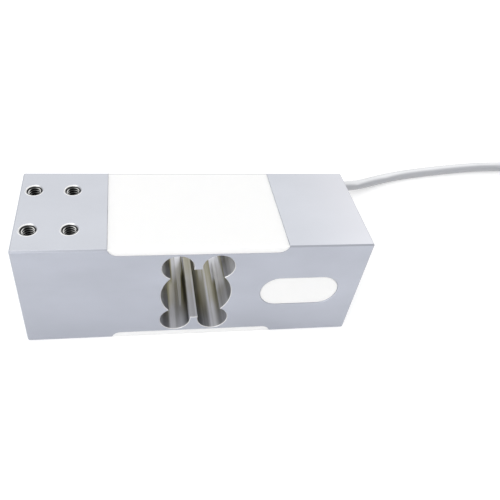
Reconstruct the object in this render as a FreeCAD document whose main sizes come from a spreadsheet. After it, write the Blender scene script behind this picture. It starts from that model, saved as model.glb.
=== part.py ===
"""Single point load cell: a milled aluminium beam with potted gauges, a wiring pocket and a cable.

Frame: X runs along the beam, Y across it away from the wiring pocket's mouth, and Z is up.
The origin is the centre of the beam's underside. Every length is in millimetres.
"""
import FreeCAD, Part
import math
import os

import Sketcher

V = FreeCAD.Vector

# ---------------------------------------------------------------- driving dimensions
SIZES = {
    # the beam: a block with bearing pads at both ends, above and below
    "beam_length": 174.0,
    "beam_width": 60.0,
    "beam_height": 65.0,
    "edge_break": 0.8,
    "mouth_break": 0.3,
    "pad_length": 43.5,
    "recess_depth": 4.2,
    "recess_corner": 5.0,
    # the measuring cavity: a wide bore, and four relief bores that leave the thin hinges
    "centre_bore_radius": 18.0,
    "relief_bore_radius": 8.0,
    "relief_bore_spacing": 20.0,
    "hinge_thickness": 1.1,
    # the wiring pocket in the front face
    "pocket_length": 42.0,
    "pocket_height": 20.0,
    "pocket_depth": 22.0,
    "pocket_to_end": 11.5,
    # the tapped holes: four in the loading end's top, four in the base end's underside
    "hole_pitch_along": 19.0,
    "hole_pitch_across": 30.0,
    "hole_to_end": 7.0,
    "tap_drill": 6.8,
    "hole_depth": 18.0,
    "hole_mouth": 8.8,
    "drill_angle": 118.0,
    # drilled ways for the wires and the cable
    "duct_diameter": 3.0,
    "duct_inset": 3.0,
    "duct_to_face": 11.0,
    "cable_inset": 4.5,
    "cable_clearance": 0.3,
    "collar_seat_diameter": 13.0,
    "collar_seat_depth": 5.0,
    # silicone
    "potting_shy": 0.2,
    "bond_gap": 0.1,
    "seal_depth": 9.0,
    "gauge_relief": 0.9,
    "wire_relief": 1.4,
    "relief_margin": 1.5,
    # strain gauges, their solder terminals and their wires
    "film_length": 11.0,
    "film_width": 9.0,
    "film_thickness": 0.2,
    "grid_length": 5.0,
    "grid_pitch": 0.8,
    "grid_line": 0.4,
    "grid_height": 0.1,
    "solder_tab": 1.6,
    "tab_spacing": 5.0,
    "strip_length": 3.0,
    "strip_width": 8.0,
    "strip_to_duct": 7.5,
    "terminal_pitch": 2.6,
    "jumper_diameter": 0.3,
    "wire_diameter": 0.7,
    "wire_spread": 0.62,
    # the circuit board on the pocket's floor
    "board_length": 25.0,
    "board_height": 9.6,
    "board_thickness": 1.6,
    "board_inset": 1.3,
    "land_pitch": 1.55,
    "land_size": 1.1,
    "land_height": 0.2,
    "resistor_length": 3.2,
    "resistor_width": 1.6,
    "resistor_height": 0.6,
    "resistor_pitch": 5.5,
    # the cable, its collar and its put-away coil
    "cable_diameter": 7.0,
    "sheath_inset": 2.0,
    "core_diameter": 1.4,
    "core_ring": 1.5,
    "core_bow": 4.5,
    "core_crossing": 2.0,
    "fit_gap": 0.1,
    "flange_diameter": 16.0,
    "flange_thickness": 1.5,
    "nose_diameter": 10.6,
    "nose_tip": 9.0,
    "collar_reach": 4.0,
    "coil_turn_radius": 41.5,
    "tie_width": 9.0,
    "tie_thickness": 0.8,
    "shrink_length": 14.0,
    "shrink_overhang": 4.0,
    "shrink_wall": 0.6,
    "lead_diameter": 1.4,
    "lead_ring": 1.5,
    "lead_straight": 7.0,
    "tinned_length": 7.0,
    "tinned_diameter": 0.9,
}

# the free cable's route from the collar to the coil, chosen by hand
CABLE_ROUTE = [
    (71.0, 30.0, 32.5),
    (71.0, 50.0, 32.5),
    (76.5, 65.0, 29.5),
    (87.5, 76.0, 23.5),
    (108.0, 84.0, 14.5),
    (134.0, 95.5, 6.0),
    (167.0, 110.5, 3.5),
    (205.0, 118.0, 3.5),
    (247.0, 123.0, 4.4),
    (289.0, 123.0, 4.4),
]
COIL_CENTRE = (321.0, 71.0)
# how many turns lie side by side in the bottom layer and in the one that nests on it
COIL_LAYERS = (4, 3)
# the tail from the coil's top turn to the stripped end
TAIL_ROUTE = [
    (369.5, 39.0, 10.46),
    (369.5, 25.0, 10.46),
    (369.5, 8.0, 4.2),
    (369.5, -9.0, 4.2),
]
TIE_ANGLES = (30.0, 210.0)
GRID_LINES = 7
BOARD_ROWS = 6
CORE_PITCH = "(sizes.land_pitch * 1.5)"
CORE_ROWS = 4
WIRE_ANGLES = (60.0, 180.0, 300.0)
# a bend reaches along its shorter run by this share, so that two bends never meet
BEND_SHARE = 0.45
# where a lead first touches the floor, as shares of its reach sideways and along
LEAD_LANDING = (0.55, 0.52)
# each lead's end, sideways and along from the sheath's end, and its angle round the cable's axis
LEADS = {
    "lead_red": (-12.0, -31.0, 150.0),
    "lead_black": (-4.5, -35.0, 222.0),
    "lead_green": (3.5, -34.0, 318.0),
    "lead_white": (11.0, -30.0, 30.0),
    "lead_shield": (-0.5, -31.0, 90.0),
}

# ---------------------------------------------------------------- places worked out from them
HALF_LENGTH = "sizes.beam_length / 2"
HALF_WIDTH = "sizes.beam_width / 2"
HALF_HEIGHT = "sizes.beam_height / 2"
RECESS_FLOOR = f"({HALF_HEIGHT} - sizes.recess_depth)"
RECESS_FLAT = (
    f"({HALF_LENGTH} - sizes.pad_length - sqrt(sizes.recess_corner ^ 2"
    " - (sizes.recess_corner - sizes.recess_depth) ^ 2))"
)
RELIEF_RISE = f"({RECESS_FLOOR} - sizes.hinge_thickness - sizes.relief_bore_radius)"
POCKET_RIGHT = f"({HALF_LENGTH} - sizes.pocket_to_end)"
POCKET_LEFT = f"({POCKET_RIGHT} - sizes.pocket_length)"
POCKET_FLOOR = f"(sizes.pocket_depth - {HALF_WIDTH})"
DUCT_X = f"({POCKET_LEFT} + sizes.duct_inset)"
DUCT_Y = f"(sizes.duct_to_face - {HALF_WIDTH})"
STRIP_X = f"({DUCT_X} - sizes.strip_to_duct)"
GAUGE_X = "sizes.relief_bore_spacing / 2"
CABLE_X = f"({POCKET_RIGHT} - sizes.cable_inset)"
BOARD_LEFT = f"({POCKET_LEFT} + sizes.board_inset)"
BOARD_TOP = f"({POCKET_FLOOR} - sizes.board_thickness)"
TOP, BOTTOM = 1, -1
ARC_START, ARC_END = range(1, 3)
MOUTH_SLOPE = 45.0


# ---------------------------------------------------------------- document, bodies and sketches
def make_sheet(doc):
    """The spreadsheet of driving dimensions, one aliased cell each."""
    sheet = doc.addObject("Spreadsheet::Sheet", "sizes")
    for row, (alias, size) in enumerate(SIZES.items(), start=1):
        sheet.set(f"A{row}", alias)
        sheet.set(f"B{row}", str(size))
        sheet.setAlias(f"B{row}", alias)
    doc.recompute()
    return sheet


def size_of(doc, expression):
    """The number that an expression on the sheet's cells stands for."""
    found = doc.getObject("sizes").evalExpression(expression)
    return float(getattr(found, "Value", found))


def new_body(doc, name, x="0", y="0", z="0"):
    """An empty body whose origin stands at an expression for each axis."""
    body = doc.addObject("PartDesign::Body", name)
    body.Label = name
    for axis, expression in zip("xyz", (x, y, z)):
        if expression != "0":
            body.setExpression(f"Placement.Base.{axis}", expression)
    return body


def origin_feature(body, role):
    return next(o for o in body.Origin.OriginFeatures if o.Role == role)


def new_sketch(body, name, role, offset=None):
    """A sketch on one of the body's own planes, moved along its normal by an expression."""
    sketch = body.newObject("Sketcher::SketchObject", name)
    sketch.AttachmentSupport = [(origin_feature(body, role), "")]
    sketch.MapMode = "FlatFace"
    if offset:
        sketch.setExpression("AttachmentOffset.Base.z", offset)
    return sketch


def dimension(sketch, kind, where, expression):
    """A dimension of the sketch, bound to an expression."""
    size = size_of(sketch.Document, expression)
    index = sketch.addConstraint(Sketcher.Constraint(kind, *where, size))
    sketch.setExpression(f"Constraints[{index}]", expression)


def place(sketch, point, x=None, y=None):
    """Hold a point (geometry, end) at signed distances from the sketch's origin."""
    for kind, expression, axis in (("DistanceX", x, -2), ("DistanceY", y, -1)):
        if expression is None:
            continue
        size = size_of(sketch.Document, expression)
        if abs(size) < 1e-9:
            sketch.addConstraint(Sketcher.Constraint("PointOnObject", *point, axis))
        elif size > 0:
            dimension(sketch, kind, (-1, 1, *point), expression)
        else:
            dimension(sketch, kind, (*point, -1, 1), f"-({expression})")


def rectangle(sketch, left, right, low, high):
    """A rectangle between signed distances from the sketch's origin."""
    x0, x1, y0, y1 = (size_of(sketch.Document, e) for e in (left, right, low, high))
    corners = [V(x0, y0, 0), V(x1, y0, 0), V(x1, y1, 0), V(x0, y1, 0)]
    sides = [
        sketch.addGeometry(Part.LineSegment(corners[i], corners[(i + 1) % 4])) for i in range(4)
    ]
    for i, way in enumerate(("Horizontal", "Vertical", "Horizontal", "Vertical")):
        sketch.addConstraint(Sketcher.Constraint("Coincident", sides[i], 2, sides[(i + 1) % 4], 1))
        sketch.addConstraint(Sketcher.Constraint(way, sides[i]))
    place(sketch, (sides[0], 1), left, low)
    place(sketch, (sides[2], 1), right, high)


def circle(sketch, x, y, radius):
    centre = V(size_of(sketch.Document, x), size_of(sketch.Document, y), 0)
    ring = sketch.addGeometry(Part.Circle(centre, V(0, 0, 1), size_of(sketch.Document, radius)))
    dimension(sketch, "Radius", (ring,), radius)
    place(sketch, (ring, 3), x, y)


def obround(sketch, left, right, radius):
    """A slot along the sketch's X axis, between its two end arcs' centres."""
    x0, x1, r = (size_of(sketch.Document, e) for e in (left, right, radius))
    up = V(0, 0, 1)
    quarter = math.pi / 2
    arc_left = Part.ArcOfCircle(Part.Circle(V(x0, 0, 0), up, r), quarter, 3 * quarter)
    arc_right = Part.ArcOfCircle(Part.Circle(V(x1, 0, 0), up, r), -quarter, quarter)
    top, end_left, low, end_right = (
        sketch.addGeometry(g)
        for g in (
            Part.LineSegment(V(x1, r, 0), V(x0, r, 0)),
            arc_left,
            Part.LineSegment(V(x0, -r, 0), V(x1, -r, 0)),
            arc_right,
        )
    )
    ring = (top, end_left, low, end_right)
    for i, side in enumerate(ring):
        sketch.addConstraint(Sketcher.Constraint("Tangent", side, 2, ring[(i + 1) % 4], 1))
    sketch.addConstraint(Sketcher.Constraint("Equal", end_left, end_right))
    dimension(sketch, "Radius", (end_left,), radius)
    place(sketch, (end_left, 3), left, "0")
    place(sketch, (end_right, 3), right, "0")


def recess_profile(sketch, side, flat, floor, lid):
    """The recess's section: a flat floor between two corner arcs, closed by a line at lid.

    flat is half the floor's flat length. side is 1 above the beam's middle and -1 below it.
    """
    doc = sketch.Document
    half, low, high = (size_of(doc, e) for e in (flat, floor, lid))
    corner = size_of(doc, "sizes.recess_corner")
    rise = math.asin((high - low - corner) / corner)
    reach = half + corner * math.cos(rise)
    up = V(0, 0, 1)
    quarter = math.pi / 2
    right = Part.Circle(V(half, side * (low + corner), 0), up, corner)
    left = Part.Circle(V(-half, side * (low + corner), 0), up, corner)
    # an arc runs anticlockwise, so the one below the middle meets the floor with its other end
    if side > 0:
        spans = ((-quarter, rise), (math.pi - rise, 3 * quarter))
        (right_floor, right_lid), (left_lid, left_floor) = (ARC_START, ARC_END), (ARC_START, ARC_END)
    else:
        spans = ((-rise, quarter), (quarter, math.pi + rise))
        (right_lid, right_floor), (left_floor, left_lid) = (ARC_START, ARC_END), (ARC_START, ARC_END)
    base = sketch.addGeometry(Part.LineSegment(V(-half, side * low, 0), V(half, side * low, 0)))
    arc_right = sketch.addGeometry(Part.ArcOfCircle(right, *spans[0]))
    arc_left = sketch.addGeometry(Part.ArcOfCircle(left, *spans[1]))
    lid_right, lid_left = V(reach, side * high, 0), V(-reach, side * high, 0)
    cover = sketch.addGeometry(Part.LineSegment(lid_right, lid_left))
    sketch.addConstraint(Sketcher.Constraint("Horizontal", base))
    sketch.addConstraint(Sketcher.Constraint("Tangent", base, 2, arc_right, right_floor))
    sketch.addConstraint(Sketcher.Constraint("Tangent", base, 1, arc_left, left_floor))
    sketch.addConstraint(Sketcher.Constraint("Coincident", cover, 1, arc_right, right_lid))
    sketch.addConstraint(Sketcher.Constraint("Coincident", cover, 2, arc_left, left_lid))
    sketch.addConstraint(Sketcher.Constraint("Horizontal", cover))
    sketch.addConstraint(Sketcher.Constraint("Equal", arc_right, arc_left))
    dimension(sketch, "Radius", (arc_right,), "sizes.recess_corner")
    place(sketch, (arc_right, 3), flat, f"{side} * ({floor} + sizes.recess_corner)")
    place(sketch, (arc_left, 3), f"-({flat})")
    place(sketch, (cover, 1), y=f"{side} * ({lid})")


def feature(body, kind, name, sketch, length=None, side="One side", backwards=False):
    """A pad, or a pocket that cuts; with no length a pocket goes through all."""
    made = body.newObject(f"PartDesign::{kind}", name)
    made.Profile = sketch
    made.SideType = side
    made.Reversed = backwards
    if length is None:
        made.Type = "ThroughAll"
    else:
        made.setExpression("Length", length)
    return made


def repeat(body, original, name, step, count, role="Y_Axis"):
    """Copies of a feature in a row along one of the body's axes, a step apart."""
    row = body.newObject("PartDesign::LinearPattern", name)
    row.Originals = [original]
    row.Direction = (origin_feature(body, role), [""])
    row.Mode = "Spacing"
    row.setExpression("Offset", step)
    row.Occurrences = count
    body.Tip = row
    return row


# ---------------------------------------------------------------- the beam
def beam_body(doc):
    """The milled block: pads, recesses, measuring cavity, wiring pocket, tapped holes and ducts."""
    body = new_body(doc, "beam_body", z=HALF_HEIGHT)

    outline = new_sketch(body, "block_outline", "XZ_Plane")
    rectangle(outline, f"-({HALF_LENGTH})", HALF_LENGTH, f"-({HALF_HEIGHT})", HALF_HEIGHT)
    block = feature(body, "Pad", "block", outline, "sizes.beam_width", "Symmetric")
    doc.recompute()
    broken = body.newObject("PartDesign::Chamfer", "broken_edges")
    broken.Base = (block, [f"Edge{i}" for i in range(1, len(block.Shape.Edges) + 1)])
    broken.setExpression("Size", "sizes.edge_break")

    for side, name in ((TOP, "top_recess"), (BOTTOM, "bottom_recess")):
        section = new_sketch(body, f"{name}_section", "XZ_Plane")
        recess_profile(section, side, RECESS_FLAT, RECESS_FLOOR, HALF_HEIGHT)
        feature(body, "Pocket", name, section, side="Symmetric")

    wide = new_sketch(body, "centre_bore_circle", "XZ_Plane")
    circle(wide, "0", "0", "sizes.centre_bore_radius")
    feature(body, "Pocket", "centre_bore", wide, side="Symmetric")
    corners = new_sketch(body, "relief_bore_circles", "XZ_Plane")
    relief_circles(corners, "sizes.relief_bore_radius")
    feature(body, "Pocket", "relief_bores", corners, side="Symmetric")

    mouth = new_sketch(body, "pocket_outline", "XZ_Plane", HALF_WIDTH)
    pocket_outline(mouth, "0")
    feature(body, "Pocket", "wiring_pocket", mouth, "sizes.pocket_depth")
    break_mouths(body)

    duct = new_sketch(body, "duct_circle", "XY_Plane")
    circle(duct, DUCT_X, DUCT_Y, "sizes.duct_diameter / 2")
    feature(body, "Pocket", "wire_duct", duct, side="Symmetric")

    way_out = new_sketch(body, "cable_bore_circle", "XZ_Plane", f"-({HALF_WIDTH})")
    circle(way_out, CABLE_X, "0", "sizes.cable_diameter / 2 + sizes.cable_clearance")
    reach = "sizes.beam_width - sizes.pocket_depth"
    feature(body, "Pocket", "cable_bore", way_out, reach, backwards=True)
    seat = new_sketch(body, "collar_seat_circle", "XZ_Plane", f"-({HALF_WIDTH})")
    circle(seat, CABLE_X, "0", "sizes.collar_seat_diameter / 2")
    feature(body, "Pocket", "collar_seat", seat, "sizes.collar_seat_depth", backwards=True)

    tapped_holes(doc, body)
    return body


def relief_circles(sketch, radius):
    """The four relief bores' circles, two above and two below the centre bore's middle."""
    for across in ("-sizes.relief_bore_spacing / 2", "sizes.relief_bore_spacing / 2"):
        for up in (f"-{RELIEF_RISE}", RELIEF_RISE):
            circle(sketch, across, up, radius)


def pocket_outline(sketch, growth):
    """The wiring pocket's outline, grown by an expression."""
    inset = "sizes.pocket_height / 2"
    obround(sketch, f"{POCKET_LEFT} + {inset}", f"{POCKET_RIGHT} - {inset}", f"{inset} + {growth}")


def break_mouths(body):
    """Small chamfers round the cavity's and the pocket's mouths, where a deburring tool has run."""
    grown = "sizes.mouth_break"
    faces = (("front", HALF_WIDTH, False), ("back", f"-({HALF_WIDTH})", True))
    for face, offset, backwards in faces:
        wide = new_sketch(body, f"{face}_centre_mouth", "XZ_Plane", offset)
        circle(wide, "0", "0", f"sizes.centre_bore_radius + {grown}")
        reliefs = new_sketch(body, f"{face}_relief_mouths", "XZ_Plane", offset)
        relief_circles(reliefs, f"sizes.relief_bore_radius + {grown}")
        mouths = [wide, reliefs]
        if face == "front":
            mouths.append(new_sketch(body, "pocket_mouth", "XZ_Plane", offset))
            pocket_outline(mouths[-1], grown)
        for sketch in mouths:
            cut = feature(body, "Pocket", f"{sketch.Name}_break", sketch, grown, backwards=backwards)
            cut.TaperAngle = -MOUTH_SLOPE


def tapped_holes(doc, body):
    """Four blind tapped holes in the loading end's top, and four turned round into the base end."""
    centres = new_sketch(body, "hole_centres", "XY_Plane", HALF_HEIGHT)
    outer = f"sizes.hole_to_end - {HALF_LENGTH}"
    for along in (outer, f"{outer} + sizes.hole_pitch_along"):
        for across in ("-sizes.hole_pitch_across / 2", "sizes.hole_pitch_across / 2"):
            circle(centres, along, across, "sizes.tap_drill / 2")
    doc.recompute()
    holes = body.newObject("PartDesign::Hole", "load_holes")
    holes.Profile = centres
    doc.recompute()
    holes.ThreadType = "None"
    holes.DepthType = "Dimension"
    holes.DrillPoint = "Angled"
    holes.HoleCutType = "Countersink"
    holes.HoleCutCountersinkAngle = 90
    holes.setExpression("Diameter", "sizes.tap_drill")
    holes.setExpression("Depth", "sizes.hole_depth")
    holes.setExpression("DrillPointAngle", "sizes.drill_angle")
    holes.setExpression("HoleCutDiameter", "sizes.hole_mouth")
    doc.recompute()
    turned = body.newObject("PartDesign::PolarPattern", "base_holes")
    turned.Originals = [holes]
    turned.Axis = (origin_feature(body, "Y_Axis"), [""])
    turned.Angle = 360
    turned.Occurrences = 2
    body.Tip = turned


# ---------------------------------------------------------------- silicone
def recess_potting(doc, name, side):
    """The silicone that fills a recess, hollowed over the gauges and the bridge wires."""
    body = new_body(doc, name, z=HALF_HEIGHT)
    section = new_sketch(body, f"{name}_section", "XZ_Plane")
    flat = f"({RECESS_FLAT} - sizes.bond_gap)"
    lid = f"{HALF_HEIGHT} - sizes.potting_shy"
    recess_profile(section, side, flat, RECESS_FLOOR, lid)
    width = "sizes.beam_width - 2 * sizes.potting_shy"
    feature(body, "Pad", f"{name}_fill", section, width, "Symmetric")

    floor = f"{side} * {RECESS_FLOOR}"
    gauges_end = f"({GAUGE_X} + sizes.film_length / 2 + sizes.relief_margin)"
    strip_side = f"({STRIP_X} - sizes.strip_length / 2 - sizes.relief_margin)"
    low = f"({DUCT_Y} - sizes.strip_width / 2 - sizes.relief_margin)"
    high = f"({DUCT_Y} + sizes.strip_width / 2 + sizes.relief_margin)"
    over_gauges = new_sketch(body, f"{name}_gauge_relief", "XY_Plane", floor)
    back = "sizes.film_width / 2 + sizes.relief_margin"
    rectangle(over_gauges, f"-{gauges_end}", strip_side, low, back)
    over_wires = new_sketch(body, f"{name}_wire_relief", "XY_Plane", floor)
    rectangle(over_wires, strip_side, f"{DUCT_X} + sizes.duct_diameter / 2", low, high)
    for sketch, depth in ((over_gauges, "sizes.gauge_relief"), (over_wires, "sizes.wire_relief")):
        feature(body, "Pocket", f"{sketch.Name}_cut", sketch, depth, backwards=side > 0)
    return body


def pocket_potting(doc):
    """The silicone plug in the wiring pocket's mouth."""
    body = new_body(doc, "pocket_potting", z=HALF_HEIGHT)
    outline = new_sketch(body, "plug_outline", "XZ_Plane", f"{HALF_WIDTH} - sizes.potting_shy")
    pocket_outline(outline, "-sizes.bond_gap")
    feature(body, "Pad", "plug", outline, "sizes.seal_depth", backwards=True)
    return body


# ---------------------------------------------------------------- gauges and bridge wiring
def shape_part(doc, name, shape, base=V()):
    """A sub-part whose shape comes from Part's own functions."""
    made = doc.addObject("Part::Feature", name)
    made.Label = name
    made.Shape = shape
    made.Placement = FreeCAD.Placement(base, FreeCAD.Rotation())
    return made


def box(x, y, z):
    """A box between (low, high) pairs."""
    low, high = V(x[0], y[0], z[0]), V(x[1], y[1], z[1])
    return Part.makeBox(*(high - low), low)


def strain_gauge(doc, name, place_x, side):
    """A foil gauge: a film with a folded grid of fine lines and two solder tabs."""
    own = ("film", "grid", "solder", "tab")
    s = {k: size_of(doc, f"sizes.{k}") for k in SIZES if k.startswith(own)}
    top = s["film_thickness"] + s["grid_height"]
    foil = sorted((side * s["film_thickness"], side * top))
    half = s["grid_length"] / 2
    line = s["grid_line"]
    film_x, film_y = s["film_length"] / 2, s["film_width"] / 2
    film = box((-film_x, film_x), (-film_y, film_y), sorted((0.0, side * s["film_thickness"])))
    first = -s["grid_pitch"] * (GRID_LINES - 1) / 4
    rows = [first + s["grid_pitch"] * i for i in range(GRID_LINES)]
    pieces = [box((-half, half), (y - line / 2, y + line / 2), foil) for y in rows]
    for i, (y, above) in enumerate(zip(rows, rows[1:])):
        end = (half - line, half) if i % 2 == 0 else (-half, line - half)
        pieces.append(box(end, (y, above), foil))
    tab, spread = s["solder_tab"] / 2, s["tab_spacing"] / 2
    tab_y = tab - film_y + line
    pieces.append(box((-half, line - half), (tab_y, rows[0]), foil))
    pieces.append(box((half, half + 2 * line), (rows[-1] - line / 2, rows[-1] + line / 2), foil))
    pieces.append(box((half + line, half + 2 * line), (tab_y, rows[-1]), foil))
    for x in (-spread, spread + line):
        pieces.append(box((x - tab, x + tab), (tab_y - tab, tab_y + tab), foil))
    gauge = film.fuse(pieces).removeSplitter()
    middle = size_of(doc, HALF_HEIGHT)
    floor = middle + side * size_of(doc, RECESS_FLOOR)
    return shape_part(doc, name, gauge, V(size_of(doc, place_x), 0, floor))


def terminal_strip(doc, name, side):
    """Three solder terminals on a film beside the duct's mouth."""
    floor = f"{HALF_HEIGHT} + {side} * {RECESS_FLOOR}"
    body = new_body(doc, name, STRIP_X, DUCT_Y, floor)
    base = new_sketch(body, f"{name}_film", "XY_Plane")
    half_length, half_width = "sizes.strip_length / 2", "sizes.strip_width / 2"
    rectangle(base, f"-{half_length}", half_length, f"-{half_width}", half_width)
    feature(body, "Pad", f"{name}_base", base, "sizes.film_thickness", backwards=side < 0)
    land = new_sketch(body, f"{name}_land", "XY_Plane", f"{side} * sizes.film_thickness")
    half_tab = "sizes.solder_tab / 2"
    low, high = f"-sizes.terminal_pitch - {half_tab}", f"{half_tab} - sizes.terminal_pitch"
    rectangle(land, f"-{half_length}", half_length, low, high)
    first = feature(body, "Pad", f"{name}_terminal", land, "sizes.grid_height", backwards=side < 0)
    repeat(body, first, f"{name}_terminals", "sizes.terminal_pitch", 3)
    return body


def smooth_path(points, bend=None):
    """Straight runs joined by tangent arcs, and the arcs' radii.

    With no bend each arc is as large as its two runs allow.
    """
    edges, radii = [], []
    start = points[0]
    for before, corner, after in zip(points, points[1:], points[2:]):
        back, ahead = before - corner, after - corner
        half_turn = (math.pi - back.getAngle(ahead)) / 2
        radius = bend or BEND_SHARE * min(back.Length, ahead.Length) / math.tan(half_turn)
        back.normalize()
        ahead.normalize()
        inward = (back + ahead).normalize() * (radius / math.cos(half_turn) - radius)
        reach = radius * math.tan(half_turn)
        edges.append(Part.LineSegment(start, corner + back * reach).toShape())
        arc = Part.Arc(corner + back * reach, corner + inward, corner + ahead * reach)
        edges.append(arc.toShape())
        start = corner + ahead * reach
        radii.append(radius)
    edges.append(Part.LineSegment(start, points[-1]).toShape())
    return Part.Wire(edges), radii


def tube(points, diameter, bend=None):
    """A round solid along a smooth path, with its volume held against section times length."""
    path, radii = smooth_path(points, bend)
    ring = Part.makeCircle(diameter / 2, points[0], points[1] - points[0])
    solid = path.makePipeShell([Part.Wire(ring)], True, False)
    expected = math.pi * diameter**2 / 4 * path.Length
    if abs(solid.Volume / expected - 1) > 0.01:
        raise RuntimeError(f"a tube holds {solid.Volume:.1f} and not {expected:.1f} cubic mm")
    return solid, path.Length, radii


def tubes(doc, name, runs, diameter, bend=None):
    """Several tubes as one sub-part of separate solids."""
    solids = [tube(points, diameter, bend)[0] for points in runs]
    return shape_part(doc, name, Part.makeCompound(solids))


def gauge_jumpers(doc, name, side):
    """Fine wires from the gauges' tabs to the terminals, over the recess floor."""
    half = size_of(doc, "sizes.jumper_diameter / 2")
    foil_top = f"{RECESS_FLOOR} + sizes.film_thickness + sizes.grid_height"
    height = size_of(doc, HALF_HEIGHT) + side * (size_of(doc, foil_top) + half)
    gauge, spread = size_of(doc, GAUGE_X), size_of(doc, "sizes.tab_spacing / 2")
    line = size_of(doc, "sizes.grid_line")
    start = size_of(doc, "sizes.solder_tab / 2 - sizes.film_width / 2")
    duct, pitch = size_of(doc, DUCT_Y), size_of(doc, "sizes.terminal_pitch")
    finish = size_of(doc, f"{STRIP_X} - sizes.strip_length / 4")
    ends = (
        (-gauge - spread, duct - pitch),
        (-gauge + spread + line, duct - 2 * half),
        (gauge - spread, duct + 2 * half),
        (gauge + spread + line, duct + pitch),
    )
    runs = [[V(x, start, height), V(x, y, height), V(finish, y, height)] for x, y in ends]
    return tubes(doc, name, runs, 2 * half, 4 * half)


def bridge_wires(doc, name, side):
    """Three wires from the terminals down the duct and onto the board's lands."""
    diameter = size_of(doc, "sizes.wire_diameter")
    middle = size_of(doc, HALF_HEIGHT)
    rest = size_of(doc, f"{RECESS_FLOOR} + sizes.film_thickness + sizes.grid_height") + diameter / 2
    height = middle + side * rest
    duct = V(size_of(doc, DUCT_X), size_of(doc, DUCT_Y), 0)
    start_x = size_of(doc, f"{STRIP_X} + sizes.strip_length / 8")
    land_face = size_of(doc, f"{BOARD_TOP} - sizes.land_height")
    pitch, spread = size_of(doc, "sizes.terminal_pitch"), size_of(doc, "sizes.wire_spread")
    step = size_of(doc, "sizes.land_pitch")
    runs = []
    for i, angle in enumerate(WIRE_ANGLES):
        way = duct + V(math.cos(math.radians(angle)), math.sin(math.radians(angle)), 0) * spread
        turn = middle + side * step * ((BOARD_ROWS - 1) / 2 - i)
        runs.append(
            [
                V(start_x, duct.y + pitch * (1 - i), height),
                V(way.x, way.y, height),
                V(way.x, way.y, turn),
                V(way.x, land_face, turn),
            ]
        )
    return tubes(doc, name, runs, diameter, 1.5 * diameter)


def terminal_board(doc):
    """The bridge's circuit board, with a row of solder lands for the gauges and one for the cable."""
    body = new_body(doc, "terminal_board", z=HALF_HEIGHT)
    outline = new_sketch(body, "board_outline", "XZ_Plane", f"-{POCKET_FLOOR}")
    right = f"{BOARD_LEFT} + sizes.board_length"
    rectangle(outline, BOARD_LEFT, right, "-sizes.board_height / 2", "sizes.board_height / 2")
    feature(body, "Pad", "board", outline, "sizes.board_thickness")
    half = "sizes.land_size / 2"
    for name, x, count, pitch in (
        ("gauge_land", DUCT_X, BOARD_ROWS, "sizes.land_pitch"),
        ("core_land", f"({right} - sizes.land_size)", CORE_ROWS, CORE_PITCH),
    ):
        land = new_sketch(body, f"{name}_outline", "XZ_Plane", f"-{BOARD_TOP}")
        low = f"-({count - 1} / 2 * {pitch})"
        sides = (f"{x} - sizes.land_size", f"{x} + {half}")
        rectangle(land, *sides, f"{low} - {half}", f"{low} + {half}")
        first = feature(body, "Pad", name, land, "sizes.land_height")
        repeat(body, first, f"{name}s", pitch, count, "Z_Axis")
    return body


def trim_resistors(doc):
    """Three chip resistors on the board that balance the bridge."""
    chips = []
    for i in (-1, 0, 1):
        chip = doc.addObject("Part::Box", f"resistor_{i + 2}")
        middle = f"{BOARD_LEFT} + sizes.board_length / 2 + {i} * sizes.resistor_pitch"
        chip.setExpression("Length", "sizes.resistor_length")
        chip.setExpression("Width", "sizes.resistor_height")
        chip.setExpression("Height", "sizes.resistor_width")
        chip.setExpression("Placement.Base.x", f"{middle} - sizes.resistor_length / 2")
        chip.setExpression("Placement.Base.y", f"{BOARD_TOP} - sizes.resistor_height")
        chip.setExpression("Placement.Base.z", f"{HALF_HEIGHT} - sizes.resistor_width / 2")
        chips.append(chip)
    group = doc.addObject("Part::Compound", "trim_resistors")
    group.Label = "trim_resistors"
    group.Links = chips
    return group


# ---------------------------------------------------------------- the cable in the beam
def cable_entry(doc):
    """The sheathed cable where it lies in its bore, from the pocket to the back face."""
    entry = doc.addObject("Part::Cylinder", "cable_entry")
    entry.Label = "cable_entry"
    inner = f"({POCKET_FLOOR} - sizes.sheath_inset)"
    entry.setExpression("Radius", "sizes.cable_diameter / 2")
    entry.setExpression("Height", f"{HALF_WIDTH} - {inner}")
    entry.Placement = FreeCAD.Placement(V(), FreeCAD.Rotation(V(1, 0, 0), -90))
    entry.setExpression("Placement.Base.x", CABLE_X)
    entry.setExpression("Placement.Base.y", inner)
    entry.setExpression("Placement.Base.z", HALF_HEIGHT)
    return entry


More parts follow.
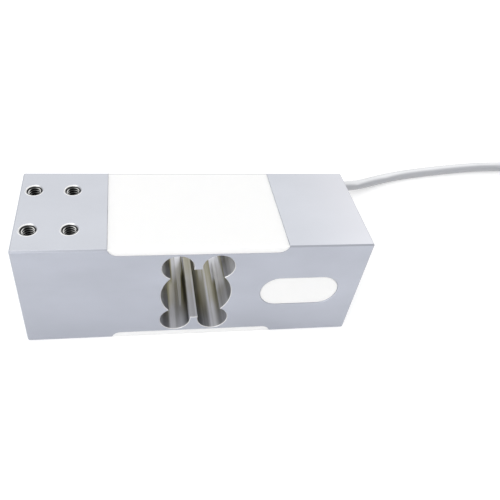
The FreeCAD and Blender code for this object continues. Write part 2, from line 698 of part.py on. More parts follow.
def strain_relief(doc):
    """The rubber collar round the cable: a shank in its seat, a flange and a tapered nose."""
    body = new_body(doc, "strain_relief", CABLE_X, HALF_WIDTH, HALF_HEIGHT)
    section = new_sketch(body, "collar_section", "XY_Plane")
    bore = "(sizes.cable_diameter / 2 + sizes.fit_gap)"
    shank = "(sizes.collar_seat_diameter / 2 - sizes.fit_gap)"
    corners = (
        (bore, "sizes.fit_gap - sizes.collar_seat_depth"),
        (shank, "sizes.fit_gap - sizes.collar_seat_depth"),
        (shank, "0"),
        ("sizes.flange_diameter / 2", "0"),
        ("sizes.flange_diameter / 2", "sizes.flange_thickness"),
        ("sizes.nose_diameter / 2", "sizes.flange_thickness"),
        ("sizes.nose_tip / 2", "sizes.collar_reach"),
        (bore, "sizes.collar_reach"),
    )
    points = [V(size_of(doc, x), size_of(doc, y), 0) for x, y in corners]
    sides = [
        section.addGeometry(Part.LineSegment(a, b)) for a, b in zip(points, points[1:] + points[:1])
    ]
    for side, after, (x, y) in zip(sides, sides[1:] + sides[:1], corners[1:] + corners[:1]):
        section.addConstraint(Sketcher.Constraint("Coincident", side, 2, after, 1))
        place(section, (side, 2), x, y)
    turned = body.newObject("PartDesign::Revolution", "collar")
    turned.Profile = section
    turned.ReferenceAxis = (section, ["V_Axis"])
    turned.Angle = 360
    return body


def inner_cores(doc):
    """The cable's four cores, from the stripped sheath in a bow onto the board."""
    diameter, ring, bow = (size_of(doc, f"sizes.core_{k}") for k in ("diameter", "ring", "bow"))
    middle = size_of(doc, HALF_HEIGHT)
    axis_x = size_of(doc, CABLE_X)
    stripped = size_of(doc, f"{POCKET_FLOOR} - sizes.sheath_inset")
    land_middle = "sizes.land_size + sizes.land_size / 4"
    land_x = size_of(doc, f"{BOARD_LEFT} + sizes.board_length - ({land_middle})")
    land_face = size_of(doc, f"{BOARD_TOP} - sizes.land_height")
    pitch, crossing = size_of(doc, CORE_PITCH), size_of(doc, "sizes.core_crossing")
    runs = []
    for up in (1, -1):
        for outer in (0, 1):
            offset = ring * math.sqrt(0.5)
            x = axis_x + (offset if outer else -offset)
            z = middle + up * offset
            y = stripped - bow - outer * crossing
            land = V(land_x, land_face, middle + up * pitch * (0.5 + outer))
            runs.append([V(x, stripped, z), V(x, y, z), V(land_x, y, land.z), land])
    return tubes(doc, "inner_cores", runs, diameter, diameter)


# ---------------------------------------------------------------- the free cable
def free_cable(doc, name, route):
    """A stretch of the free cable along its chosen points."""
    diameter = size_of(doc, "sizes.cable_diameter")
    solid, length, radii = tube([V(*p) for p in route], diameter)
    print(f"{name}: {length:.1f} mm long, bends of {', '.join(f'{r:.0f}' for r in radii)} mm")
    return shape_part(doc, name, solid)


def coil_section(doc, proud):
    """The outline of the coil's stacked turns, standing proud of their middles."""
    diameter, turn, gap, tie = (
        size_of(doc, f"sizes.{k}")
        for k in ("cable_diameter", "coil_turn_radius", "fit_gap", "tie_thickness")
    )
    low = diameter / 2 + gap + tie
    high = low + diameter * math.sqrt(3) / 2
    low_reach, high_reach = ((turns - 1) / 2 * diameter for turns in COIL_LAYERS)
    corners = [
        V(turn - low_reach, 0, low),
        V(turn + low_reach, 0, low),
        V(turn + high_reach, 0, high),
        V(turn - high_reach, 0, high),
    ]
    return Part.makePolygon(corners + corners[:1]).makeOffset2D(proud)


def cable_coil(doc):
    """The put-away cable as one ring, with the straight ends that reach it and leave it."""
    radius = size_of(doc, "sizes.cable_diameter / 2")
    centre = V(*COIL_CENTRE, 0)
    ring = Part.Face(coil_section(doc, radius)).revolve(V(), V(0, 0, 1), 360)
    ring.translate(centre)
    came, left = V(*CABLE_ROUTE[-1]), V(*TAIL_ROUTE[0])
    way_in = Part.makeCylinder(radius, centre.x - came.x, came, V(1, 0, 0))
    way_out = Part.makeCylinder(radius, centre.y - left.y, left, V(0, 1, 0))
    return shape_part(doc, "cable_coil", ring.fuse([way_in, way_out]).removeSplitter())


def coil_tie(doc, name, angle):
    """A flat band round the coil's turns."""
    inner, wall, width, turn = (
        size_of(doc, e)
        for e in (
            "sizes.cable_diameter / 2 + sizes.fit_gap",
            "sizes.tie_thickness",
            "sizes.tie_width",
            "sizes.coil_turn_radius",
        )
    )
    outside = Part.Face(coil_section(doc, inner + wall))
    band = outside.cut(Part.Face(coil_section(doc, inner)))
    spread = math.degrees(width / turn)
    band.rotate(V(), V(0, 0, 1), angle - spread / 2)
    tie = band.Faces[0].revolve(V(), V(0, 0, 1), spread)
    return shape_part(doc, name, tie, V(*COIL_CENTRE, 0))


def end_sleeve(doc):
    """The heat-shrink sleeve over the end of the sheath."""
    radius, length, overhang, wall = (
        size_of(doc, e)
        for e in (
            "sizes.cable_diameter / 2 + sizes.fit_gap",
            "sizes.shrink_length",
            "sizes.shrink_overhang",
            "sizes.shrink_wall",
        )
    )
    base = V(*TAIL_ROUTE[-1]) - V(0, overhang, 0)
    outside = Part.makeCylinder(radius + wall, length, base, V(0, 1, 0))
    inside = Part.makeCylinder(radius, length, base, V(0, 1, 0))
    return shape_part(doc, "end_sleeve", outside.cut(inside))


def lead_points(doc, side, along, angle):
    """A lead's points: out of the sheath, down to the floor and fanned out over it."""
    ring, radius = size_of(doc, "sizes.lead_ring"), size_of(doc, "sizes.lead_diameter / 2")
    end = V(*TAIL_ROUTE[-1])
    start = end + V(math.cos(math.radians(angle)), 0, math.sin(math.radians(angle))) * ring
    return [
        start,
        start - V(0, size_of(doc, "sizes.lead_straight"), 0),
        V(end.x + LEAD_LANDING[0] * side, end.y + LEAD_LANDING[1] * along, radius),
        V(end.x + side, end.y + along, radius),
    ]


def leads(doc):
    """The far end's leads, each its own sub-part, and the tinned tips of the insulated ones."""
    diameter = size_of(doc, "sizes.lead_diameter")
    tip = size_of(doc, "sizes.tinned_diameter / 2"), size_of(doc, "sizes.tinned_length")
    made, tips = [], []
    for name, (side, along, angle) in LEADS.items():
        points = lead_points(doc, side, along, angle)
        made.append(shape_part(doc, name, tube(points, diameter)[0]))
        if name != "lead_shield":
            tips.append(Part.makeCylinder(*tip, points[-1], points[-1] - points[-2]))
    made.append(shape_part(doc, "tinned_ends", Part.makeCompound(tips)))
    return made


# ---------------------------------------------------------------- the whole part
def make_parts(doc):
    """Every sub-part, in the order in which the real cell is put together."""
    parts = [beam_body(doc)]
    for name, side in (("top", TOP), ("bottom", BOTTOM)):
        parts.append(strain_gauge(doc, f"gauge_{name}_left", f"-{GAUGE_X}", side))
        parts.append(strain_gauge(doc, f"gauge_{name}_right", GAUGE_X, side))
        parts.append(terminal_strip(doc, f"terminal_strip_{name}", side))
        parts.append(gauge_jumpers(doc, f"gauge_jumpers_{name}", side))
        parts.append(bridge_wires(doc, f"bridge_wires_{name}", side))
        parts.append(recess_potting(doc, f"{name}_potting", side))
    parts += [terminal_board(doc), trim_resistors(doc), cable_entry(doc), strain_relief(doc)]
    parts += [inner_cores(doc), pocket_potting(doc)]
    parts += [free_cable(doc, "cable_sheath", CABLE_ROUTE), cable_coil(doc)]
    parts.append(free_cable(doc, "cable_tail", TAIL_ROUTE))
    parts += [coil_tie(doc, f"coil_tie_{i}", angle) for i, angle in enumerate(TIE_ANGLES, start=1)]
    parts.append(end_sleeve(doc))
    return parts + leads(doc)


def check(doc, parts):
    """Stop if any object failed, or if a sub-part's shape is empty or broken."""
    for thing in doc.Objects:
        if "Invalid" in thing.State or "Error" in thing.State:
            raise RuntimeError(f"{thing.Name} failed: {thing.State}")
    for part in parts:
        if part.Shape.isNull() or not part.Shape.isValid() or not part.Shape.Solids:
            raise RuntimeError(f"{part.Label} has no sound solid")


def main():
    doc = FreeCAD.newDocument("load_cell")
    make_sheet(doc)
    parts = make_parts(doc)
    doc.recompute()
    check(doc, parts)
    os.makedirs("parts", exist_ok=True)
    for part in parts:
        part.Shape.exportStep(f"parts/{part.Label}.step")
        print(f"{part.Label}: {len(part.Shape.Solids)} solid(s), {part.Shape.Volume:.1f} cubic mm")


main()
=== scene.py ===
"""Dress the single point load cell: its finishes, poured silicone, cut threads, lead and coil.

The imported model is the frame. Every length is in metres: X runs along the beam, Y away from the
wiring pocket's mouth, and Z up from the underside.
"""

from __future__ import annotations

import logging
import math
from dataclasses import dataclass
from enum import Enum
from typing import Any, Sequence

import bmesh
import bpy
from mathutils import Euler, Matrix, Vector, noise

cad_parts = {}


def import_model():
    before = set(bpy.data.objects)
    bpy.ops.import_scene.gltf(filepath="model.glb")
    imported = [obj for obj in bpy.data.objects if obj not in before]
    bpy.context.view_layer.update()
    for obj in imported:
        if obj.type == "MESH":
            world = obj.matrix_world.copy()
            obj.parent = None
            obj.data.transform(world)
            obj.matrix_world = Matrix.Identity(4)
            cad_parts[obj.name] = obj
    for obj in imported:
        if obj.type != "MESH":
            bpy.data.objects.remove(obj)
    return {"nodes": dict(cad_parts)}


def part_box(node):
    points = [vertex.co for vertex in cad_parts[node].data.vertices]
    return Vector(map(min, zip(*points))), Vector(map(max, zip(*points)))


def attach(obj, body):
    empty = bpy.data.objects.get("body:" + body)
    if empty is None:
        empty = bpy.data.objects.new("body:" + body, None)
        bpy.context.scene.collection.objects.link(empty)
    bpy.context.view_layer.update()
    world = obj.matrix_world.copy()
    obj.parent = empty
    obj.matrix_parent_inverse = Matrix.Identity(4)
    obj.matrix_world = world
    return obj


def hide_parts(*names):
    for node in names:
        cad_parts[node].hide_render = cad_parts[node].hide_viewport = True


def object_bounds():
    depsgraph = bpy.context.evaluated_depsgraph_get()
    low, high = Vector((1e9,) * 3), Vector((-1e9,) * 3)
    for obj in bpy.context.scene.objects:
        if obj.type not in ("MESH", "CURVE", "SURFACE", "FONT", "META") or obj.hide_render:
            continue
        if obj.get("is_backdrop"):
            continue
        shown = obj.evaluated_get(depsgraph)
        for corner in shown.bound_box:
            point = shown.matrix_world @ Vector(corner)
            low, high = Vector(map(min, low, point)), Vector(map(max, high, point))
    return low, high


LOG = logging.getLogger("load_cell")
MM = 0.001
BODY = "root"
SHARP_FROM = math.radians(40)
MERGE_WITHIN = 1e-7
ROUNDNESS = 6
Colour = tuple[float, float, float]
Point = tuple[float, float, float]
Stops = Sequence[tuple[float, float]]


# ------------------------------------------------------------------ nodes and their arithmetic
@dataclass(frozen=True)
class Sock:
    """An output of a node that takes part in arithmetic with numbers and other outputs."""

    nodes: Nodes
    link: bpy.types.NodeSocket

    def math(self, operation: str, *terms: Any) -> Sock:
        """A Math node on these terms, sockets or numbers, in order."""
        return self.nodes.made("ShaderNodeMath", {"operation": operation}, dict(enumerate(terms)))

    def __add__(self, other: Any) -> Sock:
        """The sum."""
        return self.math("ADD", self, other)

    def __sub__(self, other: Any) -> Sock:
        """The difference."""
        return self.math("SUBTRACT", self, other)

    def __rsub__(self, other: Any) -> Sock:
        """The difference from a number."""
        return self.math("SUBTRACT", other, self)

    def __mul__(self, other: Any) -> Sock:
        """The product."""
        return self.math("MULTIPLY", self, other)

    def __truediv__(self, other: Any) -> Sock:
        """The quotient."""
        return self.math("DIVIDE", self, other)

    def __abs__(self) -> Sock:
        """The size without its sign."""
        return self.math("ABSOLUTE", self)

    __radd__ = __add__
    __rmul__ = __mul__

    def at_least(self, other: Any) -> Sock:
        """The larger of two values."""
        return self.math("MAXIMUM", self, other)

    def at_most(self, other: Any) -> Sock:
        """The smaller of two values."""
        return self.math("MINIMUM", self, other)

    def above(self, edge: float, blur: float) -> Sock:
        """1 over an edge and 0 under it, with a soft step as wide as the blur to each side."""
        sockets = {0: self, 1: edge - blur, 2: edge + blur}
        return self.nodes.made("ShaderNodeMapRange", {"interpolation_type": "SMOOTHSTEP"}, sockets)

    def within(self, low: float, high: float, blur: float) -> Sock:
        """1 between two values and 0 outside them, with soft steps."""
        return self.above(low, blur) * (1 - self.above(high, blur))


class Nodes:
    """A node tree that starts empty."""

    def __init__(self, tree: bpy.types.NodeTree) -> None:
        """Empty a tree and keep it."""
        self.tree = tree
        tree.nodes.clear()

    def add(self, kind: str, settings: dict[str, Any] | None, sockets: dict[Any, Any]) -> bpy.types.Node:
        """Add a node.

        Args:
            kind: the node's type.
            settings: its properties, set first; "stops" holds a ramp's (place, level) pairs.
            sockets: values or links of its inputs, by name or number.

        Returns:
            The node.
        """
        node = self.tree.nodes.new(kind)
        for key, value in (settings or {}).items():
            if key == "stops":
                ramp = node.color_ramp.elements
                while len(ramp) < len(value):
                    ramp.new(0.5)
                for stop, (place, level) in zip(ramp, value):
                    stop.position, stop.color = place, (level, level, level, 1.0)
            else:
                setattr(node, key, value)
        for key, value in sockets.items():
            if isinstance(value, Sock):
                self.tree.links.new(value.link, node.inputs[key])
            elif node.inputs[key].type == "RGBA":
                node.inputs[key].default_value = (*value, 1.0)
            else:
                node.inputs[key].default_value = value
        return node

    def made(
        self,
        kind: str,
        settings: dict[str, Any] | None = None,
        sockets: dict[Any, Any] | None = None,
        key: Any = 0,
    ) -> Sock:
        """One output of a new node, the first unless a key names another."""
        return Sock(self, self.add(kind, settings, sockets or {}).outputs[key])


class Graph(Nodes):
    """The tree of a material or a world, with the few kinds of step that the finishes take."""

    def __init__(self, owner: bpy.types.Material | bpy.types.World) -> None:
        """Start an empty tree.

        Args:
            owner: the material or world whose tree it is.
        """
        owner.use_nodes = True
        super().__init__(owner.node_tree)
        self.owner = owner

    @classmethod
    def named(cls, name: str) -> Graph:
        """The tree of a new material."""
        return cls(bpy.data.materials.new(name))

    def position(self) -> Sock:
        """The point on the surface, in the piece's own coordinates."""
        return self.made("ShaderNodeTexCoord", key="Object")

    def axes(self, vector: Sock) -> tuple[Sock, Sock, Sock]:
        """The three parts of a vector."""
        parts = self.add("ShaderNodeSeparateXYZ", None, {0: vector}).outputs
        return Sock(self, parts[0]), Sock(self, parts[1]), Sock(self, parts[2])

    def stretched(self, vector: Sock, scale: Point) -> Sock:
        """A vector with each axis scaled, so that a pattern runs longer along one of them."""
        return self.made("ShaderNodeMapping", None, {"Vector": vector, "Scale": scale})

    def grain(self, vector: Sock, scale: float, detail: float = 2.0, rough: float = 0.5) -> Sock:
        """Soft noise between 0 and 1.

        Args:
            vector: where it is read.
            scale: how many features there are in a metre.
            detail: how many finer layers it has.
            rough: how strong the finer layers are.

        Returns:
            The noise.
        """
        sockets = {"Vector": vector, "Scale": scale, "Detail": detail, "Roughness": rough}
        return self.made("ShaderNodeTexNoise", None, sockets)

    def ramp(self, place: Sock, stops: Stops) -> Sock:
        """The level at a place from 0 to 1, between stops of (place, level)."""
        return self.axes(self.made("ShaderNodeValToRGB", {"stops": stops}, {0: place}))[0]

    def mix(self, share: Any, first: Any, second: Any) -> Sock:
        """A colour between two others, with this share of the second."""
        sockets = {0: share, 6: first, 7: second}
        return self.made("ShaderNodeMix", {"data_type": "RGBA"}, sockets, key=2)

    def shaded(self, share: Sock, colour: Colour, dark: float, pale: float = 1.0) -> Sock:
        """A colour between a darker and a paler tone of itself, given as factors."""
        return self.mix(share, scaled(colour, dark), scaled(colour, pale))

    def bump(self, height: Sock, depth: float, strength: float) -> Sock:
        """A surface normal that follows a height.

        Args:
            height: the height, from 0 to 1.
            depth: what 1 stands for, in metres.
            strength: how much of it shows.

        Returns:
            The normal.
        """
        sockets = {"Height": height, "Distance": depth, "Strength": strength}
        return self.made("ShaderNodeBump", None, sockets)

    def finish(self, **sockets: Any) -> bpy.types.Material:
        """Close the material with a surface shader.

        Args:
            sockets: the shader's inputs, with _ for a space in their names.

        Returns:
            The material.
        """
        named = {key.replace("_", " "): value for key, value in sockets.items()}
        surface = self.made("ShaderNodeBsdfPrincipled", None, named)
        self.add("ShaderNodeOutputMaterial", None, {0: surface})
        return self.owner


def scaled(colour: Colour, factor: float) -> Colour:
    """A colour times a factor."""
    return tuple(factor * part for part in colour)


# ------------------------------------------------------------------ finishes
@dataclass(frozen=True)
class BeamPlaces:
    """Where the beam's faces and bores are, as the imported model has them."""

    length: float = 174 * MM
    width: float = 60 * MM
    height: float = 65 * MM
    edge_break: float = 0.8 * MM
    recess_depth: float = 4.2 * MM
    recess_corner: float = 5 * MM
    relief_bore: float = 8 * MM
    relief_spacing: float = 20 * MM
    relief_rise: float = 19.2 * MM
    mouth_break: float = 0.3 * MM
    hole_pitch: tuple[float, float] = (19 * MM, 30 * MM)
    hole_to_end: float = 7 * MM
    hole_radius: float = 3.4 * MM
    hole_mouth: float = 4.4 * MM
    hole_depth: float = 18 * MM

    @property
    def middle(self) -> float:
        """The height of the beam's middle."""
        return self.height / 2

    @property
    def holes(self) -> Vector:
        """The middle of the loading end's four holes, on its top."""
        x = self.hole_to_end + self.hole_pitch[0] / 2 - self.length / 2
        return Vector((x, 0.0, self.height))

    def from_hole(self, x: Sock, y: Sock) -> tuple[Sock, Sock, Sock]:
        """Where a point is from the line of the nearest tapped hole.

        Args:
            x: the point's place along the beam.
            y: its place across the beam.

        Returns:
            How far it is along the beam, across it, and in all.
        """
        pitch_x, pitch_y = self.hole_pitch
        from_four = x + x.math("SIGN", x) * self.holes.x
        along = from_four.math("WRAP", from_four, pitch_x, 0.0) - pitch_x / 2
        across = y.math("WRAP", y, pitch_y, 0.0) - pitch_y / 2
        square = along * along + across * across
        off = square.math("SQRT", square) + abs(from_four).above(pitch_x, 0.1 * MM) * self.length
        return along, across, off


@dataclass(frozen=True)
class Streak:
    """A band of painted reflection along the bored walls that is brighter or darker than its neighbours.

    It lies between two places along the beam and between two shares of the way back. Towards the
    front its high side draws in by its taper. Its floor and ceiling are heights over the middle.
    Places, taper and heights are in mm.
    """

    low: float
    high: float
    near: float
    far: float
    gain: float
    taper: float = 0.0
    floor: float = -30.0
    ceiling: float = -12.0
    blur: float = 0.35 * MM

    def over(self, x: Sock, back: Sock, level: Sock) -> Sock:
        """The factor on the walls' painted reflection brightness.

        Args:
            x: a point's place along the beam.
            back: 0 at the front of the cavity and 1 at its back.
            level: its height over the beam's middle.

        Returns:
            The factor.
        """
        moved = x + (1 - back) * (self.taper * MM)
        inside = x.above(self.low * MM, self.blur) * (1 - moved.above(self.high * MM, self.blur))
        inside = inside * back.within(self.near, self.far, 0.08)
        inside = inside * level.within(self.floor * MM, self.ceiling * MM, 0.4 * MM)
        return inside * (self.gain - 1) + 1


@dataclass(frozen=True)
class Aluminium:
    """Satin machined aluminium: clouded flats, painted shade on the broken outer edges, painted highlights
    on the bore and hole mouths and painted reflection streaks on the bored walls.
    """

    places: BeamPlaces
    face: Colour = (0.46, 0.48, 0.543)
    # pad: paler than the faces, partly for its ground finish and partly as painted light on the top and
    # underside
    pad: Colour = (0.622, 0.642, 0.694)
    pad_warm: Colour = (0.78, 0.76, 0.79)
    # edge: painted shade on the broken outer edges
    edge: Colour = (0.36, 0.375, 0.42)
    # rim: painted highlight on the broken edge of the bores' mouths
    rim: Colour = (0.76, 0.76, 0.75)
    # cool and olive: the hue of the bores' painted reflections, olive in their darker far part
    cool: Colour = (0.965, 0.978, 1.065)
    olive: Colour = (1.07, 1.00, 0.66)
    # the tapped holes' walls: near black as painted shade, with a paler lit side as painted light
    hole_wall_shade: Colour = (0.004, 0.004, 0.004)
    hole_wall_lit: Colour = (0.08, 0.08, 0.08)
    # painted highlight on the countersinks' lit side and in a ring round the holes, over painted shade on
    # their other side
    hole_highlight: Colour = (0.97, 0.97, 0.97)
    cone_shaded_side: Colour = (0.42, 0.43, 0.46)
    metallic: float = 0.5
    # a point this near a plane is on it, and a mask's step is this wide
    touch: float = 0.05 * MM
    crisp: float = 0.04 * MM
    # painted reflection brightness of the bored walls at places along the beam, in mm, and how far the
    # places reach
    reach: float = 19.0
    walls: Stops = (
        (-18.0, 0.31),
        (-15.6, 0.13),
        (-13.0, 0.135),
        (-11.8, 0.29),
        (-9.4, 0.35),
        (-8.4, 0.31),
        (-5.8, 0.35),
        (-3.9, 0.20),
        (-3.1, 0.10),
        (-2.4, 0.03),
        (-2.15, 0.37),
        (0.6, 0.34),
        (1.9, 0.37),
        (2.15, 0.03),
        (5.0, 0.11),
        (7.8, 0.25),
        (9.6, 0.28),
        (10.7, 0.44),
        (11.6, 0.36),
        (12.2, 0.43),
        (13.3, 0.38),
        (14.9, 0.23),
        (16.5, 0.33),
        (18.0, 0.34),
    )
    # painted reflection bands on the bored walls
    streaks: tuple[Streak, ...] = (
        Streak(-5.8, -2.2, 0.30, 1.2, 3.6, taper=4.2),
        Streak(-5.8, -2.4, 0.30, 0.95, 2.4, taper=4.2),
        Streak(-3.5, -2.2, -0.2, 0.22, 1.1),
        Streak(-3.6, -2.2, 0.24, 0.60, 0.6),
        Streak(-3.6, -2.2, 0.64, 1.2, 4.5),
        Streak(-11.4, -8.9, 0.60, 1.2, 0.30),
        Streak(-12.8, -9.0, -0.2, 0.27, 1.25),
        Streak(-8.4, -5.8, 0.60, 1.2, 1.65),
        Streak(2.6, 6.8, 0.27, 1.2, 0.85),
        Streak(7.0, 9.3, 0.60, 1.2, 1.45),
        Streak(6.6, 9.2, -0.2, 0.25, 0.80),
        Streak(11.4, 13.0, 0.30, 1.2, 0.76),
        Streak(12.9, 14.4, 0.30, 0.90, 0.80),
        Streak(15.2, 18.6, -0.2, 0.57, 0.80, ceiling=-16.0),
        Streak(14.6, 18.6, 0.57, 1.2, 3.0),
        Streak(12.6, 15.4, 0.25, 1.2, 1.95, taper=-2.2, floor=-12.5, ceiling=15.5),
        Streak(12.6, 15.2, 0.60, 1.2, 1.5, floor=-12.5, ceiling=15.5),
        Streak(17.2, 19.0, -0.2, 0.6, 0.62, floor=-15.5, ceiling=15.5),
        Streak(-2.3, 2.3, -0.2, 0.30, 1.10),
        Streak(-2.3, 2.3, 0.55, 1.2, 0.90),
        Streak(1.2, 2.0, -0.2, 0.50, 1.15),
    )

    def paint(self) -> bpy.types.Material:
        """Make the material.

        Returns:
            The material.
        """
        g, at = Graph.named("satin_aluminium"), self.places
        point = g.position()
        x, y, z = g.axes(point)
        rise, side = abs(z - at.middle), abs(y)
        along, across, off = at.from_hole(x, y)
        speck = g.grain(point, 1100, 2, 0.6)
        end = abs(x).above((at.length - at.edge_break) / 2, 0.1 * MM)
        bored, drill = self.in_cavity(x, side, rise), self.in_holes(off, rise)
        # painted light on one side of each hole's wall
        lit = (along / at.hole_radius).above(0.45, 0.5)
        mouth = side.above(at.width / 2 - at.mouth_break, self.crisp) * bored
        cone = self.on_cones(off, rise)
        # painted highlight on one side of each countersink
        cone_lit_side = ((across - along) / at.hole_mouth).above(0.35, 0.6)
        # painted highlight: a bright ring round part of each hole on the loading end's top and the base
        # end's underside
        hole_ring_highlight = off.within(at.hole_mouth, at.hole_mouth + 0.45 * MM, 0.1 * MM) * self.on_top(rise)
        hole_ring_highlight = hole_ring_highlight * (1 - (x * (z - at.middle)).above(0.0, 1e-6))
        hole_ring_highlight = hole_ring_highlight * (1 - (across / at.hole_mouth).above(-0.35, 0.5))
        colour = self.flats(g, point, (x, y, z), speck)
        for mask, over in (
            # painted shade on the broken outer edges, with the pad colour at the ends
            (self.on_edges(x, side, rise), g.mix(end, self.edge, self.pad)),
            (bored, self.bore_reflections(g, point, (x, y, z))),
            # painted shade in the tapped holes, with painted light on one side
            (drill, g.mix(lit, self.hole_wall_shade, self.hole_wall_lit)),
            # painted highlight on the bores' mouths
            (mouth, self.rim),
            (cone, g.mix(cone_lit_side, self.cone_shaded_side, self.hole_highlight)),
            (hole_ring_highlight, self.hole_highlight),
        ):
            colour = g.mix(mask, colour, over)
        inside = bored.at_least(drill)
        rings = g.grain(g.stretched(point, (0.02, 1.0, 0.02)), 2200, 2, 0.6)
        brushed = g.grain(g.stretched(point, (0.08, 1.0, 1.0)), 2600, 2, 0.6)
        height = (speck * 0.4 + brushed * 0.6) * (1 - inside) + rings * inside
        return g.finish(
            Base_Color=colour,
            Metallic=(1 - mouth.at_least(cone) * 0.8) * (self.metallic + inside * 0.2),
            Roughness=0.42 + (speck - 0.5) * 0.10 - inside * 0.06,
            Normal=g.bump(height, 0.02 * MM, 0.5),
        )

    def flats(self, g: Graph, point: Sock, axes: tuple[Sock, Sock, Sock], speck: Sock) -> Sock:
        """The milled faces' colour, clouded, with painted shade near the floor and paler bolting pads,
        partly their ground finish and partly painted light on the top.

        Args:
            g: the material's tree.
            point: the place on the surface.
            axes: its three parts.
            speck: the metal's fine grain.

        Returns:
            The colour.
        """
        x, _, z = axes
        cloud = g.grain(g.stretched(point, (0.55, 1.0, 1.0)), 44, 3, 0.55)
        broad = g.grain(g.stretched(point, (0.6, 1.0, 1.0)), 15, 1, 0.5)
        tone = 0.5 + (cloud - 0.5) * 1.5 + (broad - 0.5) * 1.0 + (speck - 0.5) * 0.4
        # painted shade: the faces darken towards the floor, most between 18 and 50 mm along
        low = (1 - z / (0.45 * self.places.height)).at_least(0.0)
        low = low * (0.95 + x.within(0.018, 0.050, 0.02) * 0.9)
        colour = g.mix(low * 0.5, g.shaded(tone, self.face, 0.92, 1.08), scaled(self.face, 0.78))
        # painted light: the top and underside take the paler pad colour, which is partly their ground
        # finish
        pad = g.mix(x.above(0.070, 0.025) * 0.35, g.shaded(tone, self.pad, 0.96, 1.04), self.pad_warm)
        return g.mix(self.on_top(abs(z - self.places.middle)), colour, pad)

    def on_top(self, rise: Sock) -> Sock:
        """1 on the top and on the underside."""
        return rise.above(self.places.height / 2 - self.touch, self.crisp)

    def on_edges(self, x: Sock, side: Sock, rise: Sock) -> Sock:
        """1 on the broken outer edges, which are near two faces and on neither.

        Args:
            x: the place along the beam.
            side: how far it is from the beam's middle, across.
            rise: how far it is from the middle, upwards or down.

        Returns:
            The mask.
        """
        at, blur = self.places, 0.03 * MM
        near, flat = (
            side.above(at.width / 2 - shy, blur)
            + rise.above(at.height / 2 - shy, blur)
            + abs(x).above(at.length / 2 - shy, blur)
            for shy in (at.edge_break - 0.06 * MM, self.touch)
        )
        return near.above(1.5, 0.2) * (1 - flat.above(0.5, 0.2))

    def in_cavity(self, x: Sock, side: Sock, rise: Sock) -> Sock:
        """1 on the walls of the five bores.

        Args:
            x: the place along the beam.
            side: how far it is from the beam's middle, across.
            rise: how far it is from the middle, upwards or down.

        Returns:
            The mask.
        """
        at = self.places
        reach = at.relief_spacing / 2 + at.relief_bore + 0.6 * MM
        tall = at.relief_rise + at.relief_bore + 0.4 * MM
        deep = 1 - side.above(at.width / 2 - self.crisp, self.crisp)
        return deep * (1 - abs(x).above(reach, self.crisp)) * (1 - rise.above(tall, self.crisp))

    def under_top(self, rise: Sock, depth: float) -> Sock:
        """1 between the top or the underside and this depth."""
        top = self.places.height / 2
        return rise.within(top - depth, top - 0.03 * MM, 0.02 * MM)

    def in_holes(self, off: Sock, rise: Sock) -> Sock:
        """1 on the walls of the eight tapped holes."""
        wall = 1 - off.above(self.places.hole_mouth + 0.1 * MM, self.crisp)
        return wall * self.under_top(rise, self.places.hole_depth + 4 * MM)

    def on_cones(self, off: Sock, rise: Sock) -> Sock:
        """1 on the countersinks of the tapped holes."""
        edges = (self.places.hole_radius + 0.45 * MM, self.places.hole_mouth + 0.06 * MM)
        return off.within(*edges, 0.12 * MM) * self.under_top(rise, 1.2 * MM)

    def bore_reflections(self, g: Graph, point: Sock, axes: tuple[Sock, Sock, Sock]) -> Sock:
        """The bores' colour: long bright and dark streaks of painted reflection along them, darker towards
        the back as painted shade.

        Args:
            g: the material's tree.
            point: the place on the surface.
            axes: its three parts.

        Returns:
            The colour.
        """
        x, y, z = axes
        reach = self.reach * MM
        stops = [((place * MM + reach) / (2 * reach), tone) for place, tone in self.walls]
        lean = (y + self.places.width / 2) * 0.045 * (1 - x.above(-6 * MM, 2 * MM))
        wander = g.grain(g.stretched(point, (1.0, 0.02, 1.0)), 900, 2, 0.6)
        place = (x - lean + reach) / (2 * reach) + (wander - 0.5) * 0.012
        back = y / self.places.width + 0.5
        # painted shade: the walls darken towards the back of the cavity
        tone = g.ramp(place, stops) * (1.5 - back * 0.75)
        for streak in self.streaks:
            tone = tone * streak.over(x, back, z - self.places.middle)
        tone = (tone * (0.84 + wander * 0.32)).at_most(0.66)
        warm = back.above(0.2, 0.16) * (1 - tone.above(0.34, 0.22))
        hue = g.mix(warm, self.cool, self.olive)
        return g.made("ShaderNodeVectorMath", {"operation": "SCALE"}, {0: hue, 3: tone * 1.45})


@dataclass(frozen=True)
class CutThread:
    """Tapped aluminium: painted highlights on the crests, lit from two directions, over painted shade on
    the flanks.
    """

    places: BeamPlaces
    crest_highlight: Colour = (0.97, 0.97, 0.95)
    flank_shade: Colour = (0.004, 0.004, 0.004)
    reach: float = 3.12 * MM
    # painted light on the crests from one side of a hole to the other
    crest_light: Stops = (
        (0.0, 0.9),
        (0.12, 0.7),
        (0.25, 0.05),
        (0.50, 0.06),
        (0.68, 0.4),
        (0.85, 0.9),
        (1.0, 0.6),
    )

    def paint(self) -> bpy.types.Material:
        """Make the material.

        Returns:
            The material.
        """
        g = Graph.named("cut_thread")
        point = g.position()
        x, y, _ = g.axes(point)
        along, _, off = self.places.from_hole(x, y)
        light = g.ramp(along / (2 * self.places.hole_radius) + 0.5, self.crest_light)
        marks = g.grain(point, 2500, 2, 0.6)
        bright = g.mix(light * (0.85 + marks * 0.3), self.flank_shade, self.crest_highlight)
        return g.finish(
            # painted shade on the roots beyond the crests
            Base_Color=g.mix(off.above(self.reach, 0.08 * MM), bright, self.flank_shade),
            Metallic=0.4,
            Roughness=0.35 + (marks - 0.5) * 0.1,
            Normal=g.bump(marks, 0.01 * MM, 0.3),
        )


